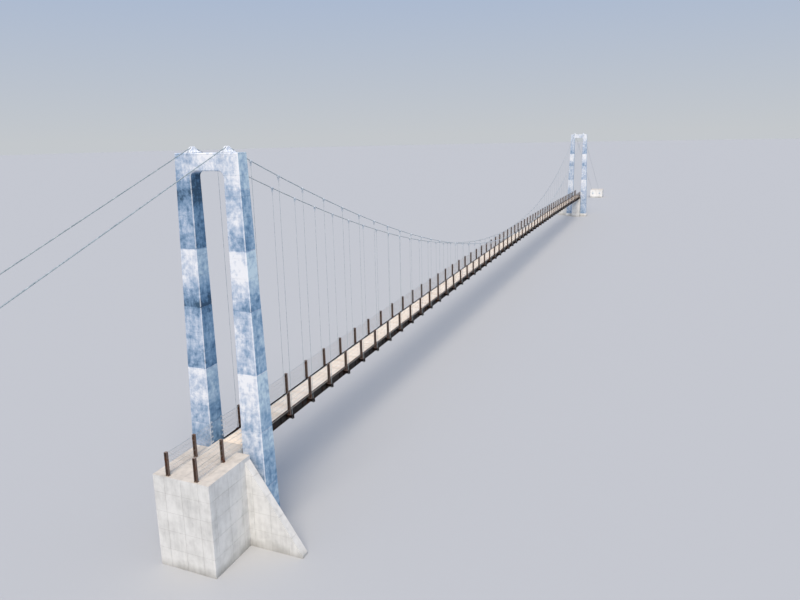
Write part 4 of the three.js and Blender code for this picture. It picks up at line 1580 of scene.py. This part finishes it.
# %% Ends of a railing's ropes
EYE_PLATE_HALF, EYE_PLATE_THICK = 4, 1.4
ROPE_PIN_OFF = 2.6
rope_pin = turned([(-2.2, 1.2), (2.2, 1.2)], 8)
turnbuckle = turned([(1, 0.9), (3, 1.7), (15, 1.7), (17, 0.9)], 8)


def rope_ends(leg_stop, inner_stop, level):
    """Eye plates, pins and turnbuckles where the ropes end on the inner face of a leg."""
    fittings = Workpiece()
    (x, y), away = leg_stop, np.subtract(inner_stop, leg_stop)
    face = math.copysign(LEG_INNER - 0.1, y)
    back = face - math.copysign(EYE_PLATE_THICK, y)
    for height in ROPE_HEIGHTS:
        z = level(x) + height
        fittings.block((x - EYE_PLATE_HALF, min(face, back), z - EYE_PLATE_HALF),
                       (x + EYE_PLATE_HALF, max(face, back), z + EYE_PLATE_HALF), 0.3)
        fittings.stamp(rope_pin, (x, y, z), **UPRIGHT)
        fittings.stamp(turnbuckle, (x, y, z), along=(*away, 0))
    return fittings


def build_railing(name, stops, level):
    """Ropes and net through a row of stops, and the fittings of those that are on a leg."""
    finish_piece(f"{name}_ropes", rail_ropes(stops, level), galvanised_rope)
    finish_piece(f"{name}_net", rail_net(stops, level), faded_twine)
    fittings = Workpiece()
    for leg_stop, inner_stop in ((stops[0], stops[1]), (stops[-1], stops[-2])):
        if abs(leg_stop[1]) > RAIL_Y:
            fittings.stamp(rope_ends(leg_stop, inner_stop, level))
    finish_piece(f"{name}_rope_ends", fittings, galvanised_fittings)


print("a turnbuckle has", len(turnbuckle.faces), "faces")

# %% Build the railings of the deck and of the landings
LANDING_POSTS = (176, 355.75)
LEG_STOP = 36
LEG_STOP_Y = LEG_INNER - EYE_PLATE_THICK - ROPE_PIN_OFF


def landing_level(x):
    """Height of a landing, which is level all along."""
    return DECK_LEVEL


for hand, side in SIDES.items():
    for n, name in enumerate(SECTIONS):
        posts = Workpiece()
        for x in section_span(n)[2]:
            posts.stamp(deck_post, (x, side * RAIL_Y, deck_top(x)))
        finish_piece(f"{name}_railing_{hand}_posts", posts, brown_paint,
                     replaces=(f"{name}_railing_{hand}",))
    on_posts = [(x, side * RAIL_Y) for x in hanger_places]
    on_legs = [(end * (TOWER_X - LEG_STOP), side * LEG_STOP_Y) for end in (-1, 1)]
    build_railing(f"deck_railing_{hand}", [on_legs[0], *on_posts, on_legs[1]], deck_top)
    for bank, end in BANKS.items():
        stops = [(end * (TOWER_X + x), side * RAIL_Y) for x in LANDING_POSTS]
        posts = Workpiece()
        for stop in stops:
            posts.stamp(landing_post, (*stop, DECK_LEVEL))
        finish_piece(f"{bank}_landing_railing_{hand}_posts", posts, brown_paint,
                     replaces=(f"{bank}_landing_rail_{hand}",))
        leg_stop = (end * (TOWER_X + LEG_STOP), side * LEG_STOP_Y)
        build_railing(f"{bank}_landing_railing_{hand}", sorted([*stops, leg_stop]), landing_level)
